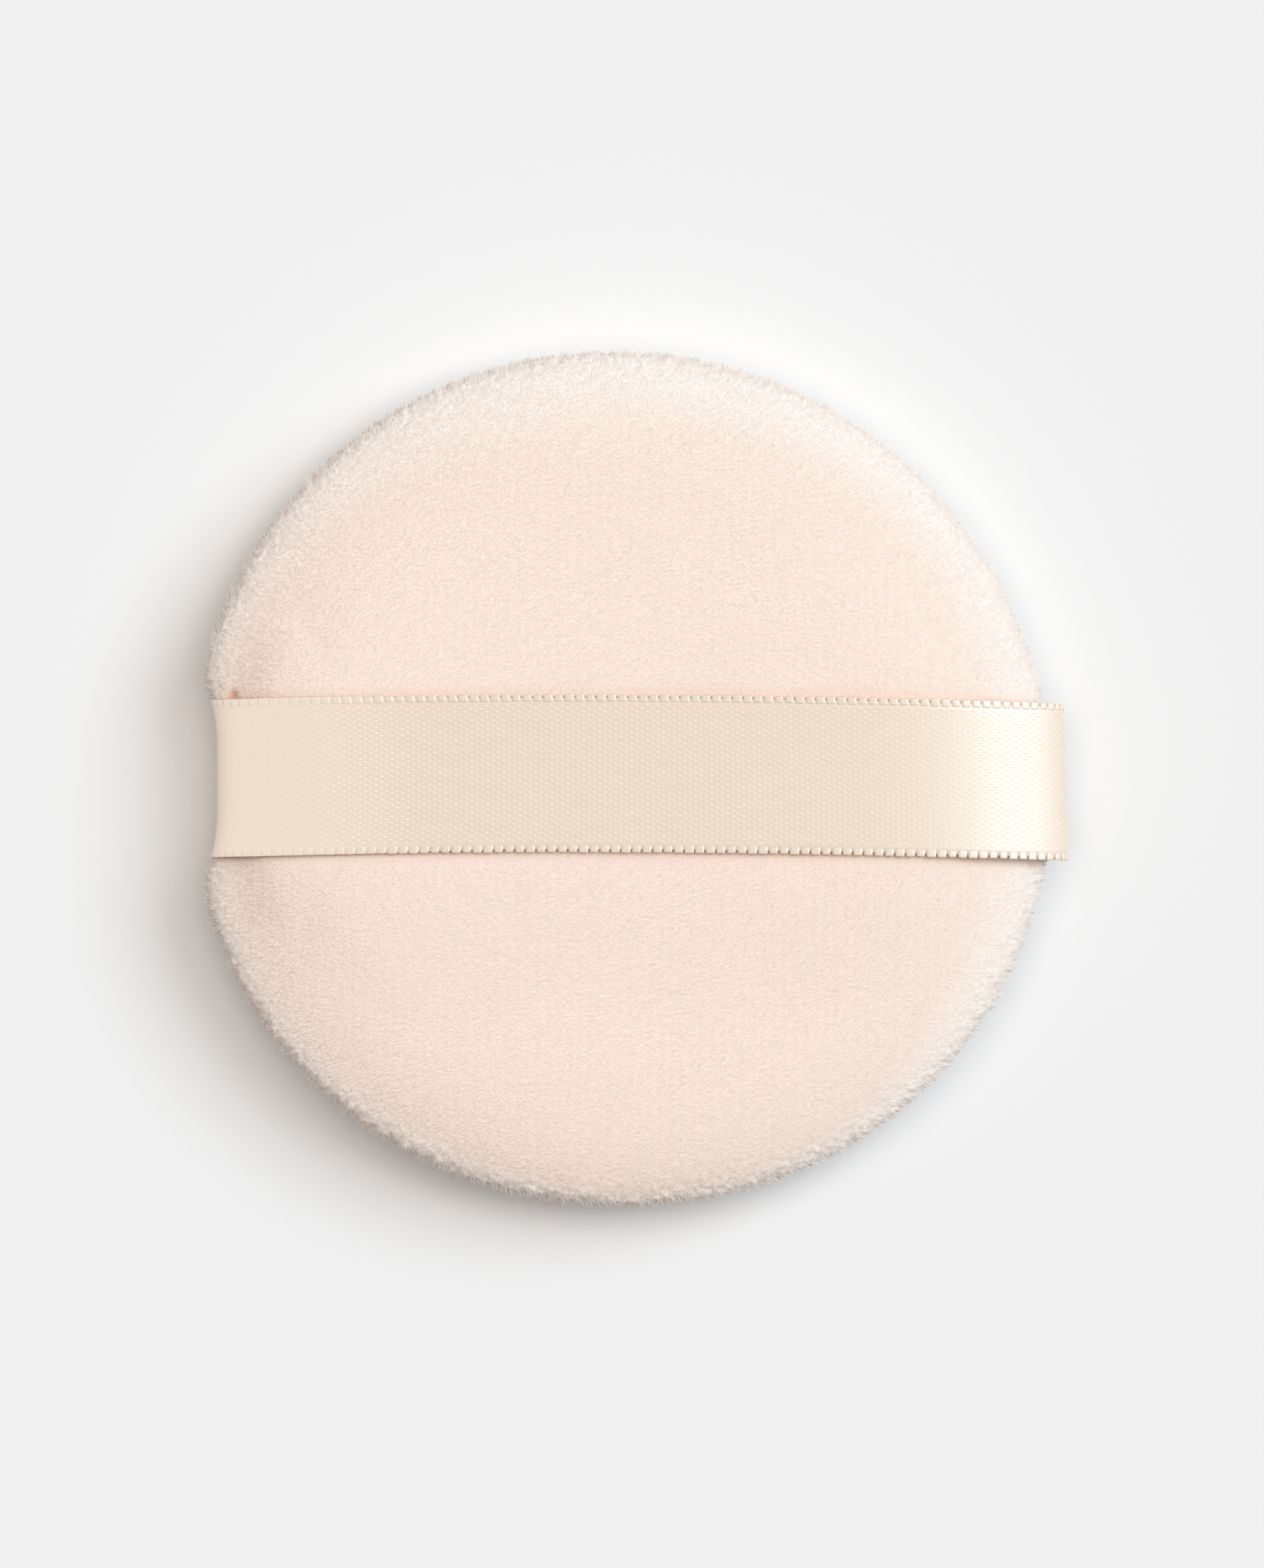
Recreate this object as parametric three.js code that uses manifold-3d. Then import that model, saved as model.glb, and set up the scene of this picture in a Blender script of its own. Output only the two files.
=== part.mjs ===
// Round velour powder puff with a satin finger ribbon, sewn, turned, filled and closed.
// Millimetres, +Z up. The origin is the middle of the flat underside; +X runs along the ribbon.
import * as THREE from "three";
import { mergeVertices } from "three/addons/utils/BufferGeometryUtils.js";
import Module from "manifold-3d";

const wasm = await Module();
wasm.setup();

// Pad
const padRadius = 40;
const seamHeight = 6; // from the table to the seam plane
const crownHeight = 6.5; // from the seam plane to the top of either face
const restDepth = 0.5; // how deep the underside is pressed flat
const crownPower = 6; // a higher power gives a flatter face and a tighter edge
const ovalSwell = 0.31;
const lobeSwell = 0.18;
const cornerSwell = 0.1;
const ovalTurn = THREE.MathUtils.degToRad(25);
const lobeTurn = THREE.MathUtils.degToRad(70);
const cornerTurn = THREE.MathUtils.degToRad(45);
const pinchDepth = 3; // the ribbon's left end draws the rim in by this much
const pinchReach = 8; // along the rim, to each side of that end

// Velour covers
const coverThickness = 2; // backing and pile
const turnedThickness = 1; // the pile is crushed where the edge is turned in
const foldRise = 0.45; // from the turned edge up to the widest place of the rim
const creaseDepth = 1.2; // the seam draws the rim in between the two covers
const seamGap = 0.3; // between the two turned edges
const seamAllowance = 4; // from the stitch line to the raw edge

// Foam
const foamGap = 0.3;
const lipThickness = 0.4; // blunt edge of the foam above and below the turned edges

// Threads
const threadDiameter = 0.25;
const threadGap = 0.25;
const stitchPitch = 4.5;
const ladderPitch = 3;
const closingLength = 26; // the gap through which the puff was turned
const closingAngle = THREE.MathUtils.degToRad(255);
const stayMargin = 1.4; // from the ribbon's edge to the first stay stitch
const stayPitch = 2.4;
const stayInset = 0.9; // from the ribbon's cut end to the row of stay stitches

// Ribbon
const ribbonWidth = 14.6;
const ribbonThickness = 0.3;
const ribbonGap = 0.3;
const ribbonTail = 3.4; // from the stitch line to the ribbon's cut end
const ribbonLift = 0.8; // slack that a finger takes up, over the middle
const ribbonBulge = 0.8; // slack past the rim at the right end
const ribbonBow = 0.6; // sideways bow of the middle
const ribbonDrift = 0.15; // the right end lies lower in plan than the left, by twice this
const ribbonSkew = 0.2; // the right fold leans by this much at each edge

// Fineness of the facets
const rimSteps = 54;
const crownSteps = 9;
const liningSteps = 6;
const rollSteps = 3;
const ribbonSteps = 12;
const bendSteps = 5;
const tailSteps = 3;
const widthSteps = 4;
const threadSides = 4;

// Sizes worked out from those above
const turnedTop = seamGap / 2 + turnedThickness;
const rollHeight = turnedTop + foldRise;
const foldRadius = padRadius - creaseDepth;
const threadRadius = threadDiameter / 2;
const threadReach = threadRadius + threadGap;
const linkReach = threadDiameter + threadGap;
const holeReach = linkReach + threadReach * Math.SQRT2;
const seamRadius = padRadius - coverThickness - holeReach - threadGap;
const rawEdge = seamRadius - seamAllowance;
const ribbonEnd = seamRadius - ribbonTail;
const runHeight = turnedTop + threadReach;
const grooveHeight = runHeight + threadRadius + foamGap;
const ribbonReach = ribbonThickness / 2 + ribbonGap;
const closingSpan = closingLength / seamRadius;

// The pad's outline in plan: a hand-cut circle, drawn in where the left ribbon end is sewn.
function radiusAt(angle) {
  const oval = ovalSwell * Math.cos(2 * (angle + ovalTurn));
  const lobes = lobeSwell * Math.cos(3 * angle + lobeTurn);
  const corners = cornerSwell * Math.cos(4 * (angle - cornerTurn));
  const fromLeftEnd = Math.acos(-Math.cos(angle)) * padRadius;
  const pinch = pinchDepth * Math.exp(-((fromLeftEnd / pinchReach) ** 4));
  return padRadius + oval + lobes + corners - pinch;
}

const swellAt = (angle) => radiusAt(angle) / padRadius;

// A place given by its angle round the pad, its radius on a true circle and its height over the seam.
function place(angle, radius, height) {
  const reach = radius * swellAt(angle);
  return new THREE.Vector3(reach * Math.cos(angle), reach * Math.sin(angle), seamHeight + height);
}

// Closed mesh from points and triangles.
function meshOf(points, faces) {
  const geometry = new THREE.BufferGeometry();
  const places = points.flatMap((point) => point.toArray());
  geometry.setAttribute("position", new THREE.Float32BufferAttribute(places, 3));
  geometry.setIndex(faces);
  return geometry;
}

function toSolid(geometry) {
  const bare = geometry.clone();
  bare.deleteAttribute("normal");
  bare.deleteAttribute("uv");
  const merged = mergeVertices(bare);
  const vertProperties = merged.attributes.position.array;
  const triVerts = new Uint32Array(merged.index.array);
  return new wasm.Manifold(new wasm.Mesh({ numProp: 3, vertProperties, triVerts }));
}

function toGeometry(solid) {
  const { vertProperties, triVerts } = solid.getMesh();
  const geometry = new THREE.BufferGeometry();
  geometry.setAttribute("position", new THREE.BufferAttribute(vertProperties, 3));
  geometry.setIndex(new THREE.BufferAttribute(triVerts, 1));
  geometry.computeVertexNormals();
  return geometry;
}

const joined = (solids) => solids.reduce((whole, solid) => whole.add(solid));
const cut = (solid, tools) => tools.reduce((rest, tool) => rest.subtract(tool), solid);

// Half a face in section, from its middle to its edge: a superellipse, pressed flat by the cut.
function crown(radius, rise, flat, steps) {
  const start = Math.acos((rise - flat) / rise);
  const section = [[0, rise - flat]];
  for (let step = flat > 0 ? 0 : 1; step <= steps; step += 1) {
    const turn = start + ((Math.PI / 2 - start) * step) / steps;
    section.push([radius * Math.sin(turn) ** (2 / crownPower), rise * Math.cos(turn)]);
  }
  return section;
}

const raised = (section, height) => section.map(([radius, z]) => [radius, z + height]);
const mirrored = (section) => section.map(([radius, z]) => [radius, -z]).reverse();

// Turns a section round the axis, following the pad's outline. It starts and ends on the axis.
function revolve(section) {
  const points = [place(0, 0, section[0][1]), place(0, 0, section.at(-1)[1])];
  const rings = section.slice(1, -1);
  const at = (turn, ring) => 2 + (turn % rimSteps) * rings.length + ring;
  const faces = [];
  for (let turn = 0; turn < rimSteps; turn += 1) {
    const angle = (2 * Math.PI * turn) / rimSteps;
    points.push(...rings.map(([radius, z]) => place(angle, radius, z)));
    faces.push(0, at(turn, 0), at(turn + 1, 0));
    for (let ring = 0; ring < rings.length - 1; ring += 1) {
      faces.push(at(turn, ring), at(turn, ring + 1), at(turn + 1, ring + 1));
      faces.push(at(turn, ring), at(turn + 1, ring + 1), at(turn + 1, ring));
    }
    faces.push(1, at(turn + 1, rings.length - 1), at(turn, rings.length - 1));
  }
  return toSolid(meshOf(points, faces));
}

// One cover in section: its face, the roll of its rim, the edge turned in, and its lining.
function coverSection(flat) {
  const rise = crownHeight - rollHeight;
  const face = raised(crown(padRadius, rise, flat, crownSteps), rollHeight);
  const roll = [];
  for (let step = 1; step <= rollSteps; step += 1) {
    const turn = ((Math.PI / 2) * step) / rollSteps;
    const inward = creaseDepth * (1 - Math.cos(turn));
    const down = (rollHeight - seamGap / 2) * Math.sin(turn);
    roll.push([padRadius - inward, rollHeight - down]);
  }
  const liningRadius = padRadius - coverThickness;
  const turned = [
    [rawEdge, seamGap / 2],
    [rawEdge, turnedTop],
    [liningRadius, turnedTop],
  ];
  const hollow = crown(liningRadius, rise - coverThickness, flat, liningSteps);
  return [...face, ...roll, ...turned, ...raised(hollow, rollHeight).reverse()];
}

// The foam in section: two crowns, with a groove round the rim for the turned edges.
function foamSection(flatTop, flatBase) {
  const radius = padRadius - coverThickness - foamGap;
  const rise = crownHeight - rollHeight - coverThickness - foamGap;
  const lip = grooveHeight + lipThickness;
  const half = (flat) => {
    const whole = raised(crown(radius, rise, flat, liningSteps * 2), rollHeight);
    const kept = whole.filter(([, z]) => z > lip);
    const lipShare = Math.sqrt(1 - ((lip - rollHeight) / rise) ** 2) ** (2 / crownPower);
    const lipRadius = radius * lipShare;
    return [...kept, [lipRadius, lip], [lipRadius, grooveHeight], [rawEdge - foamGap, grooveHeight]];
  };
  return [...half(flatTop), ...mirrored(half(flatBase))];
}

// A thread through the points, closed at both ends. The extra radius and length give its clearance.
function thread(path, extra) {
  const first = path[0].clone().sub(path[1]).setLength(extra).add(path[0]);
  const last = path.at(-1).clone().sub(path.at(-2)).setLength(extra).add(path.at(-1));
  const route = [first, ...path.slice(1, -1), last];
  const points = [];
  const faces = [];
  const side = new THREE.Vector3();
  const along = new THREE.Vector3();
  const at = (step, corner) => step * threadSides + (corner % threadSides);
  route.forEach((middle, step) => {
    const next = route[Math.min(step + 1, route.length - 1)];
    const before = route[Math.max(step - 1, 0)];
    along.subVectors(next, before).normalize();
    if (step === 0) side.set(along.y, along.z, along.x).cross(along);
    side.addScaledVector(along, -side.dot(along)).normalize();
    const other = new THREE.Vector3().crossVectors(along, side);
    for (let corner = 0; corner < threadSides; corner += 1) {
      const turn = (2 * Math.PI * (corner + 1 / 2)) / threadSides;
      const reach = threadRadius + extra;
      const point = middle.clone().addScaledVector(side, reach * Math.cos(turn));
      points.push(point.addScaledVector(other, reach * Math.sin(turn)));
      if (step === 0) continue;
      const [a, b] = [at(step - 1, corner), at(step - 1, corner + 1)];
      const [c, d] = [at(step, corner + 1), at(step, corner)];
      faces.push(a, b, c, a, c, d);
    }
  });
  for (let corner = 1; corner < threadSides - 1; corner += 1) {
    faces.push(at(0, 0), at(0, corner + 1), at(0, corner));
    const end = route.length - 1;
    faces.push(at(end, 0), at(end, corner), at(end, corner + 1));
  }
  return toSolid(meshOf(points, faces));
}

// Lockstitch round the rim, up to both ends of the closing gap.
const stitchSpan = 2 * Math.PI - closingSpan;
const stitchCount = Math.round((stitchSpan * seamRadius) / stitchPitch);
const stitchAngles = Array.from({ length: stitchCount + 1 }, (_, stitch) => {
  return closingAngle + closingSpan / 2 + (stitchSpan * stitch) / stitchCount;
});

// The needle thread comes down on one side of the bobbin thread's arch, passes under it and goes up.
const link = linkReach / 2;
const lead = threadDiameter * 1.5;
const waist = linkReach * 0.88;
const needleStitch = [
  [-lead, linkReach, runHeight],
  [0, linkReach, runHeight - lead],
  [0, waist, -link],
  [0, -waist, -link],
  [0, -linkReach, runHeight - lead],
  [lead, -linkReach, runHeight],
];
const bobbinStitch = [
  [-linkReach - lead, 0, -runHeight],
  [-linkReach, 0, lead - runHeight],
  [-waist, 0, link],
  [waist, 0, link],
  [linkReach, 0, lead - runHeight],
  [linkReach + lead, 0, -runHeight],
];

function lockstitch(stitch) {
  return stitchAngles.flatMap((angle) => {
    return stitch.map(([ahead, outward, height]) => {
      return place(angle + ahead / seamRadius, seamRadius + outward, height);
    });
  });
}

// Needle holes through both turned edges and the ribbon ends, wide enough for the linked threads.
function needleHole(angle) {
  const height = 2 * (turnedTop + threadGap);
  const hole = new THREE.CylinderGeometry(holeReach, holeReach, height, 4);
  const middle = place(angle, seamRadius, 0);
  hole.rotateX(Math.PI / 2).rotateZ(angle).translate(...middle.toArray());
  return toSolid(hole);
}

// Ladder stitch: runs inside the fold of one cover, crosses the gap, and runs inside the other.
function ladderStitch() {
  const radius = foldRadius - threadReach - threadGap;
  const height = seamGap / 2 + turnedThickness / 2;
  const rungs = Math.round(closingLength / ladderPitch);
  const path = [];
  for (let rung = 0; rung < rungs; rung += 1) {
    const level = rung % 2 ? -height : height;
    const from = closingAngle + closingSpan * (rung / rungs - 1 / 2);
    path.push(place(from, radius, level));
    path.push(place(from + closingSpan / rungs, radius, level));
  }
  return path;
}

// How far the pad reaches from the middle at this distance from the ribbon's centre line.
function leftReach(y) {
  let reach = radiusAt(Math.PI);
  for (let pass = 0; pass < 4; pass += 1) {
    reach = Math.sqrt(radiusAt(Math.atan2(y, -reach)) ** 2 - y ** 2);
  }
  return reach;
}

// The left end follows the drawn-in rim; the right end folds in a nearly straight line.
function ribbonX(side, radius, y) {
  if (side < 0) return (-radius * leftReach(y)) / padRadius;
  return (radius / padRadius) * (radiusAt(0) - (ribbonSkew * y * 2) / ribbonWidth);
}

// Half the ribbon's route in section, from its cut end to the middle: radius and height over the seam.
function ribbonRoute(side) {
  const standOff = ribbonReach + (side > 0 ? ribbonBulge : 0);
  const route = [];
  for (let step = 0; step < tailSteps; step += 1) {
    const share = step / tailSteps;
    route.push([THREE.MathUtils.lerp(ribbonEnd, foldRadius, share), 0]);
  }
  for (let step = 0; step < bendSteps; step += 1) {
    const turn = ((Math.PI / 2) * step) / bendSteps;
    const outward = (creaseDepth + standOff) * Math.sin(turn);
    route.push([foldRadius + outward, rollHeight * (1 - Math.cos(turn))]);
  }
  for (let step = ribbonSteps; step >= 0; step -= 1) {
    const turn = (Math.PI / 2) * (step / ribbonSteps) ** 1.5;
    const lift = ribbonReach + ribbonLift * Math.cos(turn) ** 2;
    const rise = (crownHeight - rollHeight + lift) * Math.cos(turn);
    const radius = (padRadius + standOff) * Math.sin(turn) ** (2 / crownPower);
    route.push([radius, rollHeight + rise]);
  }
  return route;
}

const ribbonPlace = (side, radius, height, y) => {
  const share = (side * radius) / padRadius;
  const sway = ribbonBow * (1 - share ** 2) - ribbonDrift * share;
  return new THREE.Vector3(ribbonX(side, radius, y), y + sway, seamHeight + height);
};

// A band of the ribbon's material along a route of [side, radius, height], with its thickness.
function band(route, width, thickness) {
  const points = [];
  const faces = [];
  const across = widthSteps + 1;
  for (let row = 0; row < across; row += 1) {
    const y = width * (row / widthSteps - 1 / 2);
    const line = route.map(([side, radius, height]) => ribbonPlace(side, radius, height, y));
    line.forEach((point, step) => {
      const next = line[Math.min(step + 1, line.length - 1)];
      const before = line[Math.max(step - 1, 0)];
      const out = new THREE.Vector3(before.z - next.z, 0, next.x - before.x);
      out.setLength(thickness / 2);
      points.push(point.clone().add(out), point.clone().sub(out));
    });
  }
  const at = (row, step, under) => 2 * (row * route.length + step) + under;
  const quad = (a, b, c, d) => faces.push(a, b, c, a, c, d);
  for (let step = 0; step < route.length - 1; step += 1) {
    for (let row = 0; row < widthSteps; row += 1) {
      quad(at(row, step, 0), at(row, step + 1, 0), at(row + 1, step + 1, 0), at(row + 1, step, 0));
      quad(at(row, step, 1), at(row + 1, step, 1), at(row + 1, step + 1, 1), at(row, step + 1, 1));
    }
    quad(at(0, step, 1), at(0, step + 1, 1), at(0, step + 1, 0), at(0, step, 0));
    const far = widthSteps;
    quad(at(far, step, 0), at(far, step + 1, 0), at(far, step + 1, 1), at(far, step, 1));
  }
  for (let row = 0; row < widthSteps; row += 1) {
    quad(at(row, 0, 0), at(row + 1, 0, 0), at(row + 1, 0, 1), at(row, 0, 1));
    const end = route.length - 1;
    quad(at(row, end, 1), at(row + 1, end, 1), at(row + 1, end, 0), at(row, end, 0));
  }
  return toSolid(meshOf(points, faces));
}

const sided = (side) => ribbonRoute(side).map(([radius, height]) => [side, radius, height]);

// The slot that a ribbon end presses into both covers, from its cut end to the outside of the rim.
function ribbonSlot(side) {
  const slot = sided(side).slice(0, tailSteps + bendSteps - 1);
  slot[0][1] -= ribbonGap;
  return band(side > 0 ? slot.reverse() : slot, ribbonWidth + 2 * ribbonGap, 2 * ribbonReach);
}

// Running stitch across a ribbon end, over the turned edge of the top cover and under the ribbon.
function stayStitch(side) {
  const span = ribbonWidth - 2 * stayMargin;
  const gaps = 2 * Math.round(span / stayPitch / 2) - 1;
  const under = -(ribbonThickness / 2 + threadReach);
  const radius = ribbonEnd + stayInset;
  const path = [ribbonPlace(side, radius, runHeight, -span / 2 - stayMargin / 2)];
  for (let crossing = 0; crossing <= gaps; crossing += 1) {
    const y = span * (crossing / gaps - 1 / 2);
    const levels = crossing % 2 ? [under, runHeight] : [runHeight, under];
    path.push(...levels.map((height) => ribbonPlace(side, radius, height, y)));
  }
  path.push(ribbonPlace(side, radius, runHeight, span / 2 + stayMargin / 2));
  return path;
}

// Solids, with the covers and the ribbon cut for what passes through them
const needleHoles = joined(stitchAngles.map(needleHole));
const slots = [-1, 1].map(ribbonSlot);
const [leftStay, rightStay] = [-1, 1].map(stayStitch);
const stayChannels = [leftStay, rightStay].map((path) => thread(path, threadGap));
const closingPath = ladderStitch();
const closingChannel = thread(closingPath, threadGap);
const coverCuts = [needleHoles, ...slots, ...stayChannels, closingChannel];
const topSection = coverSection(0);
const baseSection = mirrored(coverSection(restDepth));
const ribbonSides = [...sided(-1), ...sided(1).reverse().slice(1)];

const solids = {
  top_cover: cut(revolve(topSection), coverCuts),
  bottom_cover: cut(revolve(baseSection), coverCuts),
  foam_core: revolve(foamSection(0, restDepth)),
  finger_ribbon: cut(band(ribbonSides, ribbonWidth, ribbonThickness), [needleHoles, ...stayChannels]),
  rim_needle_thread: thread(lockstitch(needleStitch), 0),
  rim_bobbin_thread: thread(lockstitch(bobbinStitch), 0),
  left_stay_thread: thread(leftStay, 0),
  right_stay_thread: thread(rightStay, 0),
  closing_thread: thread(closingPath, 0),
};

// Finishes
const finish = (color, roughness) => new THREE.MeshStandardMaterial({ color, roughness, metalness: 0 });
const finishes = {
  top_cover: finish("#f7e6da", 0.95),
  bottom_cover: finish("#f4e0d3", 0.95),
  foam_core: finish("#f4efe6", 0.9),
  finger_ribbon: finish("#f0dfc8", 0.4),
  rim_needle_thread: finish("#efe0d2", 0.6),
  rim_bobbin_thread: finish("#efe0d2", 0.6),
  left_stay_thread: finish("#efe0d2", 0.6),
  right_stay_thread: finish("#efe0d2", 0.6),
  closing_thread: finish("#efe0d2", 0.6),
};

const puff = new THREE.Group();
for (const [name, solid] of Object.entries(solids)) {
  const mesh = new THREE.Mesh(toGeometry(solid), finishes[name]);
  mesh.name = name;
  puff.add(mesh);
}

export default puff;
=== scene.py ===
"""Round velour powder puff with a satin finger ribbon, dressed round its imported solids.

Two velour covers are sewn round a foam disc, turned and closed, with the ribbon's ends caught in
the seam. Each cover is a cloth skin with its pile standing on it. The ribbon is woven flat and
then laid along its route. Everything is in metres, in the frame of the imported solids.
"""
import logging
import math
from dataclasses import dataclass
from enum import Enum
from typing import Any, Optional

import bpy
import numpy as np
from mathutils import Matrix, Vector, noise
from mathutils.bvhtree import BVHTree


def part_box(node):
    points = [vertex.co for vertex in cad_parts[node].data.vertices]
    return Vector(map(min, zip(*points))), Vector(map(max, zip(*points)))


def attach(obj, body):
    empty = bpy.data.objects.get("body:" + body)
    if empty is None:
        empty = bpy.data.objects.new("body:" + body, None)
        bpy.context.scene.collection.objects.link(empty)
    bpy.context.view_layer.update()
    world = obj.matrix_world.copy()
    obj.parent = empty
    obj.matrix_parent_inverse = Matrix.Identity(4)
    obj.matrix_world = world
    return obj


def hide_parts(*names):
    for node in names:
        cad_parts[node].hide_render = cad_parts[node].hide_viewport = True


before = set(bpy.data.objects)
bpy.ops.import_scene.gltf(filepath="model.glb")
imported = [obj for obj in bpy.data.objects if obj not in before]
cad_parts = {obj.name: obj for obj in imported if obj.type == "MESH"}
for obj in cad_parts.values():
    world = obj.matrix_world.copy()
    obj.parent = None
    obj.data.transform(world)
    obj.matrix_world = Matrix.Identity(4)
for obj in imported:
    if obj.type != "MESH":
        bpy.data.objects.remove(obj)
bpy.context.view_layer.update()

logging.basicConfig(level=logging.INFO, format="%(name)s: %(message)s")
log = logging.getLogger("powder_puff")

MM = 0.001
BODY = "root"
FLAT_MAP = "OFBake"  # a piece's own map, on which its finish is drawn
PHOTO_HEIGHT = 2154
PIXELS_PER_METRE = 14730
UPPER_SLOPE = math.radians(75)  # up to here a surface counts as an upper side
LOWER_FADE = math.radians(60)  # and over this much more it becomes an underside
TABLE_ROOM = 0.01 * MM


# Numbers and colours


def linear(code: str) -> tuple[float, float, float, float]:
    """Turn an sRGB hex colour to the linear numbers that a node holds.

    Args:
        code: six hex digits after a hash, as red, green and blue.

    Returns:
        Red, green, blue and an alpha of one.
    """
    shares = [int(code[at : at + 2], 16) / 255 for at in (1, 3, 5)]
    curve = [s / 12.92 if s <= 0.04045 else ((s + 0.055) / 1.055) ** 2.4 for s in shares]
    return (*curve, 1.0)


def smooth_step(value: np.ndarray) -> np.ndarray:
    """Ease a share from 0 to 1, and hold it outside that range."""
    share = np.clip(value, 0, 1)
    return share * share * (3 - 2 * share)


def evened(line: np.ndarray, pitch: float) -> np.ndarray:
    """Space the points of a line evenly along it.

    Args:
        line: points, one in each row.
        pitch: distance wanted between two points, in metres.

    Returns:
        Points from the line's start to its end, as near to that pitch as fits.
    """
    along = np.concatenate([[0], np.cumsum(np.linalg.norm(np.diff(line, axis=0), axis=1))])
    count = max(round(along[-1] / pitch), 1) + 1
    wanted = np.linspace(0, along[-1], count)
    return np.stack([np.interp(wanted, along, column) for column in line.T], axis=1)


def square_to(line: np.ndarray) -> np.ndarray:
    """Find the way into the body from each point of a line in section.

    Args:
        line: points, one in each row.

    Returns:
        A way of length one, square to the line, for each point.
    """
    way = np.gradient(line, axis=0)
    way /= np.linalg.norm(way, axis=1, keepdims=True)
    return np.stack([way[:, 1], -way[:, 0]], axis=1)


# Meshes


def new_mesh(name: str, points: np.ndarray, faces: list) -> bpy.types.Mesh:
    """Make a smooth mesh.

    Args:
        name: the mesh's name.
        points: its points, one in each row.
        faces: the numbers of each face's points.

    Returns:
        The mesh.
    """
    mesh = bpy.data.meshes.new(name)
    mesh.from_pydata(points.tolist(), [], faces)
    mesh.shade_smooth()
    return mesh


def new_piece(name: str, mesh: bpy.types.Mesh) -> bpy.types.Object:
    """Put a mesh in the scene as an object at the origin.

    Args:
        name: the object's name.
        mesh: its mesh.

    Returns:
        The object.
    """
    piece = bpy.data.objects.new(name, mesh)
    bpy.context.scene.collection.objects.link(piece)
    return piece


def rows_of(items: Any, name: str) -> np.ndarray:
    """Read three numbers from each item of a mesh.

    Args:
        items: the mesh's points, normals or stored values.
        name: the property that holds the numbers.

    Returns:
        The numbers, one item in each row.
    """
    flat = np.empty(len(items) * 3)
    items.foreach_get(name, flat)
    return flat.reshape(-1, 3)


def points_of(mesh: bpy.types.Mesh) -> np.ndarray:
    """Read a mesh's points, one in each row."""
    return rows_of(mesh.vertices, "co")


def normals_of(mesh: bpy.types.Mesh) -> np.ndarray:
    """Read the way that each point of a mesh faces."""
    return rows_of(mesh.vertex_normals, "vector")


def set_points(mesh: bpy.types.Mesh, points: np.ndarray) -> None:
    """Write a mesh's points."""
    mesh.vertices.foreach_set("co", points.ravel())
    mesh.update()


def set_facing(mesh: bpy.types.Mesh, ways: np.ndarray) -> None:
    """Let a mesh catch light as if its points faced the ways given, of any length."""
    ways = ways / np.linalg.norm(ways, axis=1, keepdims=True)
    mesh.normals_split_custom_set_from_vertices(ways)


def eased(facing: np.ndarray, limit: np.ndarray) -> np.ndarray:
    """Hold the slope of directions on an upper side near a limit, and leave an underside's alone.

    Args:
        facing: the way that each point faces.
        limit: the slope, in radians, that the upper side comes near but doesn't pass.

    Returns:
        Directions with the same heading and a gentler slope.
    """
    slope = np.arccos(np.clip(facing[:, 2], -1, 1))
    gentle = limit * np.tanh(slope / limit)
    gentle = gentle + (slope - gentle) * smooth_step((slope - UPPER_SLOPE) / LOWER_FADE)
    heading = facing[:, :2] / np.maximum(np.hypot(facing[:, 0], facing[:, 1]), 1e-9)[:, None]
    return np.concatenate([heading * np.sin(gentle)[:, None], np.cos(gentle)[:, None]], axis=1)


def add_map(mesh: bpy.types.Mesh, places: np.ndarray) -> None:
    """Give a mesh its own map.

    Args:
        mesh: the mesh.
        places: each point's place on the flat cloth, as two shares from 0 to 1.
    """
    corners = np.empty(len(mesh.loops), dtype=np.int32)
    mesh.loops.foreach_get("vertex_index", corners)
    layer = mesh.uv_layers.new(name=FLAT_MAP)
    layer.uv.foreach_set("vector", places[corners].astype(np.float32).ravel())


def add_values(mesh: bpy.types.Mesh, name: str, values: np.ndarray) -> None:
    """Store a number or a vector for each point of a mesh.

    Args:
        mesh: the mesh.
        name: the name that nodes read the values by.
        values: a number, or a row of three, for each point.
    """
    kind, field = ("FLOAT", "value") if values.ndim == 1 else ("FLOAT_VECTOR", "vector")
    layer = mesh.attributes.new(name, kind, "POINT")
    layer.data.foreach_set(field, values.astype(np.float32).ravel())


def set_out(piece: bpy.types.Object, slot: str, *nodes: str) -> None:
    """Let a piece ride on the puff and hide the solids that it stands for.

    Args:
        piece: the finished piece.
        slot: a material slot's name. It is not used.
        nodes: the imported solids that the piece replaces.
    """
    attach(piece, BODY)
    if nodes:
        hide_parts(*nodes)
    log.info("%s: %d faces, for %s", piece.name, len(piece.data.polygons), nodes or "no solid")


# Nodes


class Value:
    """A node's output, which takes part in sums as a number does."""

    def __init__(self, tree: "Tree", socket: bpy.types.NodeSocket) -> None:
        """Hold one output of a node in a tree."""
        self.tree = tree
        self.socket = socket

    def other(self, output: Any) -> "Value":
        """Take another output of the same node, by name or number."""
        return Value(self.tree, self.socket.node.outputs[output])

    def __add__(self, term: Any) -> "Value":
        """Add a number or an output."""
        return self.tree.sum("ADD", self, term)

    def __sub__(self, term: Any) -> "Value":
        """Take a number or an output away."""
        return self.tree.sum("SUBTRACT", self, term)

    def __mul__(self, term: Any) -> "Value":
        """Multiply by a number or an output."""
        return self.tree.sum("MULTIPLY", self, term)

    def __truediv__(self, term: Any) -> "Value":
        """Divide by a number or an output."""
        return self.tree.sum("DIVIDE", self, term)


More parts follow.
